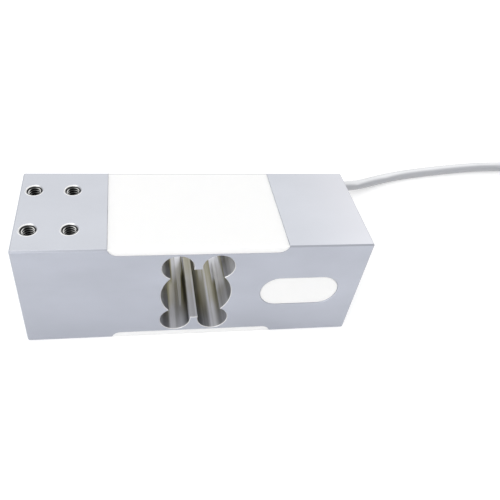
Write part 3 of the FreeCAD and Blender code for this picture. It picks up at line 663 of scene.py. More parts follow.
@dataclass(frozen=True)
class Silicone:
    """White poured silicone, a little translucent, with a soft uneven skin and a painted shade line along
    its back rim.
    """

    colour: Colour = (0.975, 0.975, 0.97)
    # edge and where it starts: a painted shade line along the silicone's back rim
    edge: Colour = (0.74, 0.74, 0.75)
    rim_shade_from: float = 28.7 * MM

    def paint(self) -> bpy.types.Material:
        """Make the material.

        Returns:
            The material.
        """
        g = Graph.named("white_silicone")
        point = g.position()
        skin = g.grain(point, 160, 3, 0.5)
        pits = g.grain(point, 2400, 1, 0.5)
        # painted shade along the back rim
        back_rim_shade = g.axes(point)[1].above(self.rim_shade_from, 0.15 * MM)
        return g.finish(
            Base_Color=g.mix(back_rim_shade, g.shaded(skin, self.colour, 0.985), self.edge),
            Roughness=0.38 + (skin - 0.5) * 0.12,
            Subsurface_Weight=0.35,
            Subsurface_Radius=(1.0, 1.0, 0.95),
            Subsurface_Scale=2.5 * MM,
            Specular_IOR_Level=0.4,
            Normal=g.bump(skin + pits * 0.12, 0.12 * MM, 0.5),
        )


class Sheen(Enum):
    """How a plastic's surface throws light back."""

    SATIN = 0.38
    MATT = 0.6
    GLOSSY = 0.22


@dataclass(frozen=True)
class Plastic:
    """Moulded or extruded plastic or rubber with a fine skin."""

    name: str
    colour: Colour
    sheen: Sheen = Sheen.SATIN
    grain: float = 1800.0

    def paint(self) -> bpy.types.Material:
        """Make the material.

        Returns:
            The material.
        """
        g = Graph.named(self.name)
        point = g.position()
        fine = g.grain(point, self.grain, 2, 0.55)
        broad = g.grain(point, self.grain / 30, 2, 0.5)
        return g.finish(
            Base_Color=g.shaded(fine * 0.4 + broad * 0.6, self.colour, 0.9),
            Roughness=self.sheen.value + (fine - 0.5) * 0.1,
            Normal=g.bump(fine, 0.02 * MM, 0.4),
        )


@dataclass(frozen=True)
class Jacket:
    """Grey cable sheath with a painted highlight along its top and along the turns that lie on each other,
    over a darker grey that is partly its colour and partly painted shade.
    """

    colour: Colour = (0.43, 0.44, 0.468)
    # pale: a painted highlight along the sheath's top; the darker colour above is partly the sheath's grey
    # and partly painted shade on its underside
    pale: Colour = (0.84, 0.85, 0.87)
    dust: Colour = (0.3, 0.3, 0.3)
    # the height of the lead's middle along its free run, in mm, and how far the two reach
    run: Stops = ((87.5, 23.5), (108.0, 14.5), (134.0, 6.4), (162.0, 3.6), (205.0, 3.5), (247.0, 4.4))
    reach: float = 300.0
    tall: float = 30.0

    def paint(self) -> bpy.types.Material:
        """Make the material.

        Returns:
            The material.
        """
        g = Graph.named("grey_jacket")
        point = g.position()
        x, _, z = g.axes(point)
        fine = g.grain(point, 1800, 2, 0.55)
        stops = [(along / self.reach, high / self.tall) for along, high in self.run]
        over = z - g.ramp(x / (self.reach * MM), stops) * (self.tall * MM)
        free = x.within(0.088, 0.270, 0.012)
        # painted highlight: along the free run's top and on the coil's upper turns
        layers = z.within(5.8 * MM, 9.0 * MM, 1.5 * MM) + z.above(12.2 * MM, 1.5 * MM)
        top = over.above(2.9 * MM, 0.75 * MM) * free + layers * (1 - free) * x.above(0.250, 0.012) * 0.55
        return g.finish(
            Base_Color=g.mix(fine * 0.08, g.mix(top, self.colour, self.pale), self.dust),
            Roughness=0.34 + (fine - 0.5) * 0.08,
            Coat_Weight=0.6 + (fine - 0.5) * 0.1,
            Coat_Roughness=0.18,
            Normal=g.bump(fine, 0.02 * MM, 0.3),
        )


@dataclass(frozen=True)
class Metal:
    """Bare drawn or plated metal with fine marks."""

    name: str
    colour: Colour
    rough: float = 0.3

    def paint(self) -> bpy.types.Material:
        """Make the material.

        Returns:
            The material.
        """
        g = Graph.named(self.name)
        marks = g.grain(g.position(), 3000, 2, 0.6)
        return g.finish(
            Base_Color=g.shaded(marks, self.colour, 0.8),
            Metallic=1.0,
            Roughness=self.rough + (marks - 0.5) * 0.15,
            Normal=g.bump(marks, 0.01 * MM, 0.4),
        )


@dataclass(frozen=True)
class Layered:
    """A base with raised metal on it, told apart by how far a point is from a plane."""

    name: str
    base: Colour
    raised: Colour
    axis: int
    middle: float
    step: float

    def paint(self) -> bpy.types.Material:
        """Make the material.

        Returns:
            The material.
        """
        g = Graph.named(self.name)
        point = g.position()
        metal = abs(g.axes(point)[self.axis] - self.middle).above(self.step, 0.01 * MM)
        marks = g.grain(point, 2500, 2, 0.6)
        return g.finish(
            Base_Color=g.mix(metal, g.shaded(marks, self.base, 0.85), self.raised),
            Metallic=metal,
            Roughness=0.42 - metal * 0.12 + (marks - 0.5) * 0.1,
            Normal=g.bump(marks, 0.01 * MM, 0.4),
        )


# ------------------------------------------------------------------ meshes and curves
def new_piece(
    name: str, data: bpy.types.ID, material: bpy.types.Material, slot: str, *stands_for: str
) -> bpy.types.Object:
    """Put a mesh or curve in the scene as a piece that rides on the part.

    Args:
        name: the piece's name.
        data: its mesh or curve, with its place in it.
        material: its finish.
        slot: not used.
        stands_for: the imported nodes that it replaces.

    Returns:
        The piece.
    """
    piece = bpy.data.objects.new(name, data)
    bpy.context.scene.collection.objects.link(piece)
    data.materials.clear()
    data.materials.append(material)
    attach(piece, BODY)
    if stands_for:
        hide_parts(*stands_for)
    LOG.info("%s made", name)
    return piece


def dress_node(node: bpy.types.Object, material: bpy.types.Material) -> None:
    """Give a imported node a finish.

    Args:
        node: the node.
        material: its finish.
    """
    for slot in node.material_slots:
        slot.material = material
    LOG.info("%s dressed", node.name)


def evaluated_mesh(thing: bpy.types.Object) -> bpy.types.Mesh:
    """What an object comes to once its curve and modifiers are worked out.

    Args:
        thing: the object, which is removed.

    Returns:
        The plain mesh.
    """
    bpy.context.scene.collection.objects.link(thing)
    graph = bpy.context.evaluated_depsgraph_get()
    mesh = bpy.data.meshes.new_from_object(thing.evaluated_get(graph))
    bpy.data.objects.remove(thing)
    return mesh


def mesh_of(name: str, points: Sequence[Sequence[float]], faces: Sequence[Sequence[int]]) -> bpy.types.Mesh:
    """A smooth-shaded mesh with its faces pointing outwards.

    Args:
        name: the mesh's name.
        points: its vertices.
        faces: its faces, as numbers of vertices.

    Returns:
        The mesh.
    """
    mesh = bpy.data.meshes.new(name)
    mesh.from_pydata([tuple(p) for p in points], [], faces)
    work = bmesh.new()
    work.from_mesh(mesh)
    bmesh.ops.remove_doubles(work, verts=work.verts, dist=MERGE_WITHIN)
    bmesh.ops.recalc_face_normals(work, faces=work.faces)
    work.to_mesh(mesh)
    work.free()
    mesh.shade_smooth()
    mesh.set_sharp_from_angle(angle=SHARP_FROM)
    return mesh


def ring_faces(rings: int, around: int, closed: bool = True) -> list[tuple[int, ...]]:
    """Faces between rings of points that follow each other.

    Args:
        rings: how many rings there are.
        around: how many points each ring has.
        closed: whether the last ring meets the first.

    Returns:
        The faces, as numbers of points.
    """
    faces = []
    for ring in range(rings if closed else rings - 1):
        here, there = ring * around, (ring + 1) % rings * around
        for i in range(around):
            j = (i + 1) % around
            faces.append((here + i, here + j, there + j, there + i))
    return faces


def turned(name: str, profile: Stops, base: Vector, segments: int = 72) -> bpy.types.Mesh:
    """A ring-shaped solid turned round a line along Y.

    Args:
        name: the mesh's name.
        profile: its closed section, as (radius, distance along Y) pairs.
        base: the point on the line where the distance is 0.
        segments: how many steps there are round it.

    Returns:
        The mesh.
    """
    points = []
    for step in range(segments):
        angle = 2 * math.pi * step / segments
        for radius, along in profile:
            points.append(base + Vector((radius * math.cos(angle), along, radius * math.sin(angle))))
    return mesh_of(name, points, ring_faces(segments, len(profile)))


def spline_curve(name: str, points: Sequence[Sequence[float]], radius: float) -> bpy.types.Curve:
    """A round tube on one smooth open spline.

    Args:
        name: the curve's name.
        points: the spline's control points.
        radius: the tube's radius.

    Returns:
        The curve.
    """
    curve = bpy.data.curves.new(name, "CURVE")
    curve.dimensions = "3D"
    spline = curve.splines.new("NURBS")
    spline.points.add(len(points) - 1)
    for place, point in zip(spline.points, points):
        place.co = (*point, 1.0)
    spline.order_u = 3
    spline.use_endpoint_u = True
    curve.resolution_u = curve.bevel_resolution = ROUNDNESS
    curve.bevel_depth = radius
    curve.use_fill_caps = True
    return curve


class Recipe(Nodes):
    """A Geometry Nodes tree with named sizes, whose result is kept as a plain mesh."""

    def __init__(
        self, name: str, sizes: dict[str, float | int], base: bpy.types.Curve | None = None
    ) -> None:
        """Start a tree with one named input for each size.

        Args:
            name: the tree's name.
            sizes: each input's name and value; a whole number makes a whole-number input.
            base: the curve that it starts from, if any, as its Geometry input.
        """
        super().__init__(bpy.data.node_groups.new(name, "GeometryNodeTree"))
        self.sizes, self.base, self.names = sizes, base, {}
        face = self.tree.interface
        if base:
            face.new_socket("Geometry", in_out="INPUT", socket_type="NodeSocketGeometry")
        for label, size in sizes.items():
            kind = "NodeSocketInt" if isinstance(size, int) else "NodeSocketFloat"
            self.names[label] = face.new_socket(label, in_out="INPUT", socket_type=kind).identifier
        face.new_socket("Geometry", in_out="OUTPUT", socket_type="NodeSocketGeometry")
        self.given = self.tree.nodes.new("NodeGroupInput")

    def input(self, label: str) -> Sock:
        """A named input of the tree."""
        return Sock(self, self.given.outputs[label])

    def circle(self, corners: int, radius: Sock) -> Sock:
        """A flat closed curve with this many corners."""
        sockets = {"Resolution": corners, "Radius": radius}
        return self.made("GeometryNodeCurvePrimitiveCircle", {"mode": "RADIUS"}, sockets)

    def tube(self, line: Sock, section: Sock) -> Sock:
        """A section drawn along a line, with closed ends."""
        sockets = {"Curve": line, "Profile Curve": section, "Fill Caps": True}
        return self.made("GeometryNodeCurveToMesh", None, sockets)

    def copies(self, points: Sock, shape: Sock) -> Sock:
        """A shape at each of the points."""
        return self.made("GeometryNodeInstanceOnPoints", None, {"Points": points, "Instance": shape})

    def make(self, geometry: Sock, material: bpy.types.Material) -> bpy.types.Mesh:
        """Close the tree and keep what it makes.

        Args:
            geometry: the tree's last shape.
            material: its finish.

        Returns:
            The plain mesh.
        """
        real = self.made("GeometryNodeRealizeInstances", None, {0: geometry})
        dressed = self.made("GeometryNodeSetMaterial", None, {"Geometry": real, "Material": material})
        self.add("NodeGroupOutput", None, {0: dressed})
        holder = bpy.data.objects.new(self.tree.name, self.base or bpy.data.meshes.new(self.tree.name))
        modifier = holder.modifiers.new("recipe", "NODES")
        modifier.node_group = self.tree
        for label, identifier in self.names.items():
            modifier[identifier] = self.sizes[label]
        return evaluated_mesh(holder)


# ------------------------------------------------------------------ the beam
@dataclass
class Beam:
    """The machined block, with threads cut in its eight holes."""

    places: BeamPlaces
    pitch: float = 1.4 * MM
    tooth: float = 0.62 * MM
    turns: int = 11
    start: float = 0.25 * MM
    steps: int = 40

    def dress(self, nodes: dict[str, bpy.types.Object]) -> None:
        """Give the block its finish and cut the threads.

        Args:
            nodes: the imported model's nodes.
        """
        dress_node(nodes["beam_body"], Aluminium(self.places).paint())
        thread = CutThread(self.places).paint()
        self.threads("load_threads", thread, turned_over=False)
        self.threads("base_threads", thread, turned_over=True)

    def threads(self, name: str, material: bpy.types.Material, turned_over: bool) -> None:
        """Cut one helical ridge in each of four holes.

        Args:
            name: the piece's name.
            material: its finish.
            turned_over: whether the holes are the base end's, in the underside.
        """
        at = self.places
        along, across = at.hole_pitch
        sizes = {"Turns": float(self.turns), "Pitch": self.pitch, "Radius": at.hole_radius}
        recipe = Recipe(name, sizes | {"Tooth": self.tooth, "Along": along, "Across": across})
        turns, radius = recipe.input("Turns"), recipe.input("Radius")
        path = {"Resolution": self.steps, "Rotations": turns, "Start Radius": radius, "End Radius": radius}
        path["Height"] = turns * recipe.input("Pitch")
        helix = recipe.made("GeometryNodeCurveSpiral", None, path)
        upright = recipe.made("GeometryNodeSetCurveNormal", {"mode": "Z_UP"}, {0: helix})
        ridge = recipe.tube(upright, recipe.circle(3, recipe.input("Tooth")))
        square = {"Size X": recipe.input("Along"), "Size Y": recipe.input("Across")}
        corners = recipe.made("GeometryNodeMeshGrid", None, square | {"Vertices X": 2, "Vertices Y": 2})
        mesh = recipe.make(recipe.copies(corners, ridge), material)
        drop = self.turns * self.pitch + at.hole_mouth - at.hole_radius - self.start
        mesh.transform(Matrix.Translation(at.holes - Vector((0, 0, drop))))
        if turned_over:
            mesh.transform(Matrix.Translation((0, 0, at.height)) @ Matrix.Rotation(math.pi, 4, "Y"))
        mesh.shade_flat()
        new_piece(name, mesh, material, "aluminium")


# ------------------------------------------------------------------ silicone
@dataclass
class Potting:
    """The silicone poured over the gauges and into the wiring pocket."""

    places: BeamPlaces
    columns: int = 84
    rows: int = 48
    crowding: tuple[float, float] = (2.2, 2.6)
    sag: float = 0.10 * MM
    ripple: float = 0.05 * MM
    ripples: float = 90.0
    edge_round: float = 0.35 * MM
    meniscus: float = 1.2 * MM
    around: int = 96
    # how far in from its rim and how deep in its mouth each ring of the plug's face is, in mm
    dip: Stops = (
        (0.0, 0.4),
        (0.12, 0.12),
        (0.4, 0.0),
        (1.0, 0.10),
        (2.2, 0.19),
        (4.0, 0.26),
        (6.5, 0.30),
        (9.85, 0.31),
    )

    def dress(self) -> None:
        """Pour all three fills."""
        material = Silicone().paint()
        for node, mesh in (
            ("top_potting", self.slab("top_potting", 1)),
            ("bottom_potting", self.slab("bottom_potting", -1)),
            ("pocket_potting", self.plug("pocket_potting")),
        ):
            new_piece(f"{node}_fill", mesh, material, "silicone", node)

    def slab(self, node: str, way: int) -> bpy.types.Mesh:
        """The fill of a recess: a settled skin over the recess's own floor and corners.

        Args:
            node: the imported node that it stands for.
            way: 1 on the top and -1 on the underside.

        Returns:
            The mesh.
        """
        low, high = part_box(node)
        at, corner = self.places, self.places.recess_corner
        floor = at.height / 2 - at.recess_depth
        lid = (high.z if way > 0 else at.height - low.z) - at.middle
        shoulder = high.x - math.sqrt(corner**2 - (corner - (lid - floor)) ** 2)
        xs = spread_ends(low.x, high.x, self.columns, self.crowding[0])
        ys = spread_ends(low.y, high.y, self.rows, self.crowding[1])
        upper, lower = [], []
        for x in xs:
            into = max(0.0, abs(x) - shoulder)
            under = floor + corner - math.sqrt(max(0.0, corner**2 - into**2))
            for y in ys:
                upper.append((x, y, at.middle + way * self.skin(x, y, high, lid)))
                lower.append((x, y, at.middle + way * under))
        return mesh_of(f"{node}_fill", upper + lower, slab_faces(len(xs), len(ys)))

    def skin(self, x: float, y: float, reach: Vector, lid: float) -> float:
        """The settled surface's height above the beam's middle.

        Args:
            x: the place along the beam.
            y: the place across it.
            reach: the fill's far corner.
            lid: its height at its ends.

        Returns:
            The height.
        """
        climb = math.exp(-(reach.x - abs(x)) / self.meniscus)
        turn = max(0.0, 1 - (reach.y - abs(y)) / self.edge_round)
        drop = self.edge_round * (1 - math.sqrt(max(0.0, 1 - turn**2)))
        wave = noise.noise(Vector((x, y, lid)) * self.ripples) * self.ripple * (1 - climb)
        return lid - self.sag * (1 - climb) + min(wave, 0.6 * self.sag) - drop

    def plug(self, node: str) -> bpy.types.Mesh:
        """The fill of the wiring pocket: a rounded slot with a face that dips in its middle.

        Args:
            node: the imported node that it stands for.

        Returns:
            The mesh.
        """
        low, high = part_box(node)
        centre, radius = (low + high) / 2, (high.z - low.z) / 2
        span = (high.x - low.x) / 2 - radius
        rings = [(radius, high.y)]
        rings += [(radius - inset * MM, low.y + deep * MM) for inset, deep in self.dip]
        points, around = [], self.around
        for size, y in rings:
            for i in range(around):
                angle = 2 * math.pi * i / around
                x = centre.x + math.copysign(span, math.cos(angle)) + size * math.cos(angle)
                points.append((x, y, centre.z + size * math.sin(angle)))
        faces = ring_faces(len(rings), around, closed=False)
        faces += [tuple(range(around)), tuple(range(len(points) - around, len(points)))]
        return mesh_of(f"{node}_fill", points, faces)


def spread_ends(low: float, high: float, count: int, power: float) -> list[float]:
    """Places from low to high that crowd towards both ends.

    Args:
        low: the first place.
        high: the last place.
        count: how many steps there are.
        power: how strongly they crowd.

    Returns:
        The places.
    """
    places = []
    for i in range(count + 1):
        share = 2 * i / count - 1
        crowded = math.copysign(1 - (1 - abs(share)) ** power, share)
        places.append((low + high) / 2 + (high - low) / 2 * crowded)
    return places


def slab_faces(columns: int, rows: int) -> list[tuple[int, ...]]:
    """Faces of two grids of points joined round their edges.

    Args:
        columns: how many points each grid has one way.
        rows: how many it has the other way.

    Returns:
        The faces, as numbers of points.
    """
    faces, lower = [], columns * rows
    for i in range(columns - 1):
        for j in range(rows - 1):
            a, b = i * rows + j, (i + 1) * rows + j
            faces.append((a, b, b + 1, a + 1))
            faces.append((lower + a, lower + a + 1, lower + b + 1, lower + b))
    border = [i * rows for i in range(columns)]
    border += [(columns - 1) * rows + j for j in range(1, rows)]
    border += [i * rows + rows - 1 for i in range(columns - 2, -1, -1)]
    border += list(range(rows - 2, 0, -1))
    for a, b in zip(border, border[1:] + border[:1]):
        faces.append((a, b, lower + b, lower + a))
    return faces


# ------------------------------------------------------------------ gauges, terminals and board
@dataclass
class Bridge:
    """The gauges and wiring under the silicone, and the board in the pocket."""

    places: BeamPlaces
    film: float = 0.21 * MM
    laminate: float = 0.1 * MM

    def dress(self, nodes: dict[str, bpy.types.Object]) -> None:
        """Give every hidden node its finish.

        Args:
            nodes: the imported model's nodes.
        """
        at, amber = self.places, (0.55, 0.26, 0.06)
        film = at.height / 2 - at.recess_depth + self.film
        gauge = Layered("gauge_film", amber, (0.72, 0.70, 0.66), 2, at.middle, film).paint()
        strip = Layered("terminal_film", amber, (0.85, 0.46, 0.27), 2, at.middle, film).paint()
        front = -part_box("terminal_board")[0].y - self.laminate
        board = Layered("board_laminate", (0.02, 0.17, 0.07), (0.82, 0.83, 0.82), 1, 0.0, front)
        copper = Metal("enamelled_copper", (0.85, 0.40, 0.20), 0.25).paint()
        insulation = Plastic("bridge_wire_insulation", (0.78, 0.76, 0.70)).paint()
        chips = Plastic("resistor_ceramic", (0.03, 0.03, 0.035), Sheen.GLOSSY)
        finishes = {
            "terminal_board": board.paint(),
            "trim_resistors": chips.paint(),
            "inner_cores": insulation,
        }
        for end in ("top", "bottom"):
            finishes[f"gauge_{end}_left"] = finishes[f"gauge_{end}_right"] = gauge
            finishes[f"terminal_strip_{end}"] = strip
            finishes[f"gauge_jumpers_{end}"] = copper
            finishes[f"bridge_wires_{end}"] = insulation
        for name, material in finishes.items():
            dress_node(nodes[name], material)


# ------------------------------------------------------------------ the lead
def eased(share: float) -> float:
    """A share from 0 to 1 that starts and stops gently."""
    share = min(1.0, max(0.0, share))
    return share * share * (3 - 2 * share)


def hump(share: float) -> float:
    """A smooth rise and fall between 0 and 1, and 0 outside them."""
    return math.sin(math.pi * share) ** 2 if 0 < share < 1 else 0.0


@dataclass
class Coil:
    """The put-away turns: a bottom layer wound inwards and a top layer wound out again."""

    centre: tuple[float, float] = (321 * MM, 71 * MM)
    pitch: float = 7 * MM
    outer: float = 52 * MM
    bottom_turns: int = 4
    top_turns: int = 2
    rest: float = 4.4 * MM
    nested: float = 10.46 * MM
    crossing: float = 1.0 * MM
    per_turn: int = 24

    @property
    def wound(self) -> int:
        """The whole angle of winding, in degrees, to where the tail leaves."""
        return 360 * (self.bottom_turns + self.top_turns) + 90

    def place(self, turned_by: float) -> tuple[float, float]:
        """Where the lead's middle is after an angle of winding.

        Args:
            turned_by: the angle since the lead met the coil, in degrees.

        Returns:
            The distance from the coil's centre, and the height.
        """
        bottom = 360 * self.bottom_turns
        inner = self.outer - (self.bottom_turns - 1) * self.pitch
        if turned_by < bottom - 180:
            turn, part = divmod(turned_by, 360)
            return self.outer - self.pitch * (turn + eased((part - 270) / 90)), self.rest
        if turned_by < bottom:
            climb = eased((turned_by - bottom + 180) / 90)
            return inner - self.pitch / 2 * climb, self.rest + (self.nested - self.rest) * climb
        over = (turned_by - bottom) / 90
        if over < 1:
            radius = inner - self.pitch / 2 + self.pitch * eased(over)
            return radius, self.nested + self.crossing * hump(over)
        turn, part = divmod(turned_by - bottom - 90, 360)
        lift = max(hump((part - 180) / 90), hump((part - 270) / 90))
        radius = inner + self.pitch / 2 + self.pitch * (turn + eased((part - 270) / 90))
        return radius, self.nested + self.crossing * lift

    def strands(self, way: float) -> list[tuple[float, float]]:
        """Where every turn is at one direction from the coil's middle.

        Args:
            way: the direction, in degrees.

        Returns:
            Each turn's distance from the middle and its height.
        """
        first = int((90 - way) % 360)
        return [self.place(turned_by) for turned_by in range(first, self.wound + 1, 360)]

    def points(self) -> list[Vector]:
        """The control points of all the turns, after the point where the lead meets them.

        Returns:
            The points.
        """
        step = 360 / self.per_turn
        outward = 1 / math.cos(math.pi / self.per_turn)
        made = []
        for i in range(1, round(self.wound / step)):
            radius, height = self.place(i * step)
            angle = math.radians(90 - i * step)
            x = self.centre[0] + radius * outward * math.cos(angle)
            y = self.centre[1] + radius * outward * math.sin(angle)
            made.append(Vector((x, y, height)))
        return made


@dataclass
class Lead:
    """The cable from its collar to its stripped end, with its points in mm."""

    coil: Coil
    diameter: float = 7 * MM
    length: float = 1.94
    route: tuple[Point, ...] = (
        (71.0, 30.0, 32.5),
        (71.0, 50.0, 32.5),
        (76.5, 65.0, 29.5),
        (87.5, 76.0, 23.5),
        (108.0, 84.0, 14.5),
        (134.0, 95.5, 6.0),
        (167.0, 110.5, 3.5),
        (205.0, 118.0, 3.5),
        (247.0, 123.0, 4.4),
        (289.0, 123.0, 4.4),
        (321.0, 123.0, 4.4),
    )
    tail: tuple[Point, ...] = (
        (369.5, 71.0, 10.7),
        (369.5, 61.0, 11.4),
        (369.5, 50.0, 11.7),
        (369.5, 41.0, 10.6),
        (369.5, 30.0, 7.0),
        (369.5, 19.0, 4.2),
        (369.5, 8.0, 4.2),
        (369.5, -9.0, 4.2),
    )
    ties: tuple[float, ...] = (30.0, 210.0)

    def dress(self, nodes: dict[str, bpy.types.Object]) -> None:
        """Lay the lead and finish everything on it.

        Args:
            nodes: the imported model's nodes.
        """
        jacket = Jacket().paint()
        points = [Vector(p) * MM for p in self.route] + self.coil.points()
        points += [Vector(p) * MM for p in self.tail]
        tube = spline_curve("lead_cable", points, self.diameter / 2)
        stands_for = ("cable_sheath", "cable_coil", "cable_tail")
        cable = new_piece("lead_cable", tube, jacket, "cable_jacket", *stands_for)
        dress_node(nodes["cable_entry"], jacket)
        rubber = Plastic("collar_rubber", (0.045, 0.045, 0.05), Sheen.MATT, 2200).paint()
        collar = new_piece("lead_collar", self.collar(), rubber, "collar_rubber", "strain_relief")
        shrink = Plastic("shrink_sleeve", (0.02, 0.02, 0.022), Sheen.MATT).paint()
        sleeve = new_piece("lead_sleeve", self.sleeve(points[-1]), shrink, "shrink_sleeve", "end_sleeve")
        ties = [CableTie(self.coil, way).build(f"coil_tie_{i}") for i, way in enumerate(self.ties, 1)]
        LeadEnds(points[-1]).dress()

    def collar(self) -> bpy.types.Mesh:
        """The rubber collar: a shank in its seat, a flange and a nose with three ribs.

        Returns:
            The mesh.
        """
        low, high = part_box("strain_relief")
        flange = (high.x - low.x) / 2
        base = Vector(((low.x + high.x) / 2, 0.0, (low.z + high.z) / 2))
        bore, shank, face = 3.6 * MM, 6.3 * MM, 30 * MM
        profile = [(bore, low.y), (shank - 0.4 * MM, low.y), (shank, low.y + 0.4 * MM), (shank, face)]
        profile += [(flange - 0.1 * MM, face), (flange, face + 0.4 * MM), (flange, face + 1.0 * MM)]
        profile += [(flange - 0.5 * MM, face + 1.45 * MM), (5.3 * MM, face + 1.5 * MM)]
        for i in range(3):
            start, size = face + (1.75 + 0.75 * i) * MM, (5.2 - 0.25 * i) * MM
            for inset, along in ((0.45, 0.0), (0.45, 0.15), (0.0, 0.3), (0.05, 0.6)):
                profile.append((size - inset * MM, start + along * MM))
        return turned("lead_collar", profile + [(4.2 * MM, high.y), (bore, high.y)], base)

    def sleeve(self, end: Vector) -> bpy.types.Mesh:
        """The shrunk sleeve, tight on the sheath and drawn in round the wires.

        Args:
            end: the middle of the sheath's end.

        Returns:
            The mesh.
        """
        outer = ((-4.0, 2.55), (-3.6, 2.85), (-2.2, 3.0), (-0.9, 3.45), (0.0, 3.95), (0.8, 4.14))
        outer += ((3.0, 4.18), (6.0, 4.12), (9.4, 4.18), (9.9, 4.05), (10.0, 3.75))
        inner = ((9.8, 3.58), (0.3, 3.58), (-0.2, 3.3), (-1.2, 2.7), (-2.4, 2.35), (-3.8, 2.32))
        profile = [(radius * MM, along * MM) for along, radius in outer + inner]
        return turned("lead_sleeve", profile, end, 48)


@dataclass
class CableTie:
    """A nylon tie drawn tight round the coil's turns, with its head and cut tail on top."""

    coil: Coil
    way: float
    reach: float = 3.55 * MM
    width: float = 7.6 * MM
    thick: float = 0.7 * MM
    bend_steps: int = 10
    head: Point = (9.0 * MM, 8.8 * MM, 4.2 * MM)
    head_aside: float = -1.5 * MM
    tail: float = 9.0 * MM
    tail_aside: float = 6.5 * MM
    tail_rise: float = 1.7 * MM
    notches: int = 9
    notch_pitch: float = 0.72 * MM
    notch_width: float = 3.4 * MM
    notch_radius: float = 0.22 * MM
    notches_from: float = 4.1 * MM
    rounding: float = 0.28 * MM
    sharp_from: float = math.radians(35)

    def build(self, node: str) -> bpy.types.Object:
        """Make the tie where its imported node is.

        Args:
            node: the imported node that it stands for.

        Returns:
            The piece.
        """
        nylon = Plastic(f"{node}_nylon", (0.80, 0.80, 0.76), Sheen.SATIN, 1200).paint()
        work = bmesh.new()
        for part in (self.strap(), self.lock(), self.teeth(nylon)):
            work.from_mesh(part)
        mesh = bpy.data.meshes.new(f"{node}_tie")
        work.to_mesh(mesh)
        work.free()
        turn = Matrix.Rotation(math.radians(self.way), 4, "Z")
        mesh.transform(Matrix.Translation((*self.coil.centre, 0)) @ turn)
        mesh.set_sharp_from_angle(angle=self.sharp_from)
        return new_piece(f"{node}_tie", mesh, nylon, "tie_nylon", node)

    def corners(self) -> list[Vector]:
        """The turns that the strap bends round: the corners of the hull of them all.

        Returns:
            The turns' middles in X and Z, in order.
        """
        turns = sorted(self.coil.strands(self.way))
        ring: list[Vector] = []
        for line in (turns, turns[::-1]):
            side: list[Vector] = []
            for x, z in line:
                here = Vector((x, 0.0, z))
                while len(side) > 1 and (side[-1] - side[-2]).cross(here - side[-2]).y >= 0:
                    side.pop()
                side.append(here)
            ring += side[:-1]
        return ring

    def loop(self) -> list[tuple[Vector, Vector]]:
        """The line of the strap's inner face.

        Returns:
            Its places, each with its outward way, in X and Z.
        """
        ring, line = self.corners(), []
        edges = [after - here for here, after in zip(ring, ring[1:] + ring[:1])]
        ways = [math.atan2(-edge.x, edge.z) for edge in edges]
        for i, corner in enumerate(ring):
            start, stop = ways[i - 1], ways[i]
            stop += math.tau * (stop < start)
            for j in range(self.bend_steps + 1):
                angle = start + (stop - start) * j / self.bend_steps
                out = Vector((math.cos(angle), 0.0, math.sin(angle)))
                line.append((corner + out * self.reach, out))
        return line

    @property
    def top(self) -> Vector:
        """The middle of the strap's inner face where it crosses the top turns.

        Returns:
            The point, in X and Z.
        """
        high = [corner for corner in self.corners() if corner.z > self.coil.nested - 0.1 * MM]
        middle = sum(corner.x for corner in high) / len(high)
        return Vector((middle, 0.0, max(corner.z for corner in high) + self.reach))

    def strap(self) -> bpy.types.Mesh:
        """The strap round the turns, with rounded edges.

        Returns:
            The mesh.
        """
        half, t = self.width / 2, self.thick
        section = [(-half, 0.3), (-half, 0.7), (-half + 0.4 * t, 1.0), (half - 0.4 * t, 1.0)]
        section += [(-side, 1 - rise) for side, rise in section]
        points, line = [], self.loop()
        for place, out in line:
            points += [place + out * (rise * t) + Vector((0, side, 0)) for side, rise in section]
        return mesh_of("strap", points, ring_faces(len(line), len(section)))

    def lock(self) -> bpy.types.Mesh:
        """The head on top of the turns, with the cut tail that comes out of it.

        Returns:
            The mesh.
        """
        work = bmesh.new()
        for size, aside, rise in (
            (self.head, self.head_aside, self.head[2] / 2),
            ((self.tail, self.width, self.thick), self.tail_aside, self.tail_rise),
        ):
            made = bmesh.ops.create_cube(work, size=1.0)
            place = Matrix.Translation(self.top + Vector((aside, 0.0, rise)))
            matrix = place @ Matrix.Diagonal((*size, 1.0))
            bmesh.ops.transform(work, matrix=matrix, verts=made["verts"])
        bmesh.ops.bevel(work, geom=work.edges[:], offset=self.rounding, segments=3, affect="EDGES")
        mesh = bpy.data.meshes.new("lock")
        work.to_mesh(mesh)
        work.free()
        mesh.shade_smooth()
        return mesh

    def teeth(self, nylon: bpy.types.Material) -> bpy.types.Mesh:
        """The ridges across the tail.

        Args:
            nylon: the tie's finish.

        Returns:
            The mesh.
        """
        sizes = {"Count": self.notches, "Pitch": self.notch_pitch, "Width": self.notch_width}
        recipe = Recipe("tie_teeth", sizes)
        rod = {"Vertices": 6, "Radius": self.notch_radius, "Depth": recipe.input("Width")}
        ridge = recipe.made("GeometryNodeMeshCylinder", None, rod)
        turn = {"Geometry": ridge, "Rotation": (math.pi / 2, 0.0, 0.0)}
        across = recipe.made("GeometryNodeTransform", None, turn)
        step = recipe.made("ShaderNodeCombineXYZ", None, {0: recipe.input("Pitch")})
        line = {"Count": recipe.input("Count"), "Offset": step}
        row = recipe.made("GeometryNodeMeshLine", {"mode": "OFFSET"}, line)
        mesh = recipe.make(recipe.copies(row, across), nylon)
        start = Vector((self.notches_from, 0.0, self.tail_rise + self.thick / 2))
        mesh.transform(Matrix.Translation(self.top + start))
        return mesh


@dataclass(frozen=True)
class Wire:
    """Where a wire of the stripped end lies.

    Its end lies sideways and along the cable from the sheath's end, in mm, and it leaves the
    sheath at an angle round the cable's middle, in degrees.
    """

    node: str
    side: float
    along: float
    angle: float
    colour: Colour | None = None


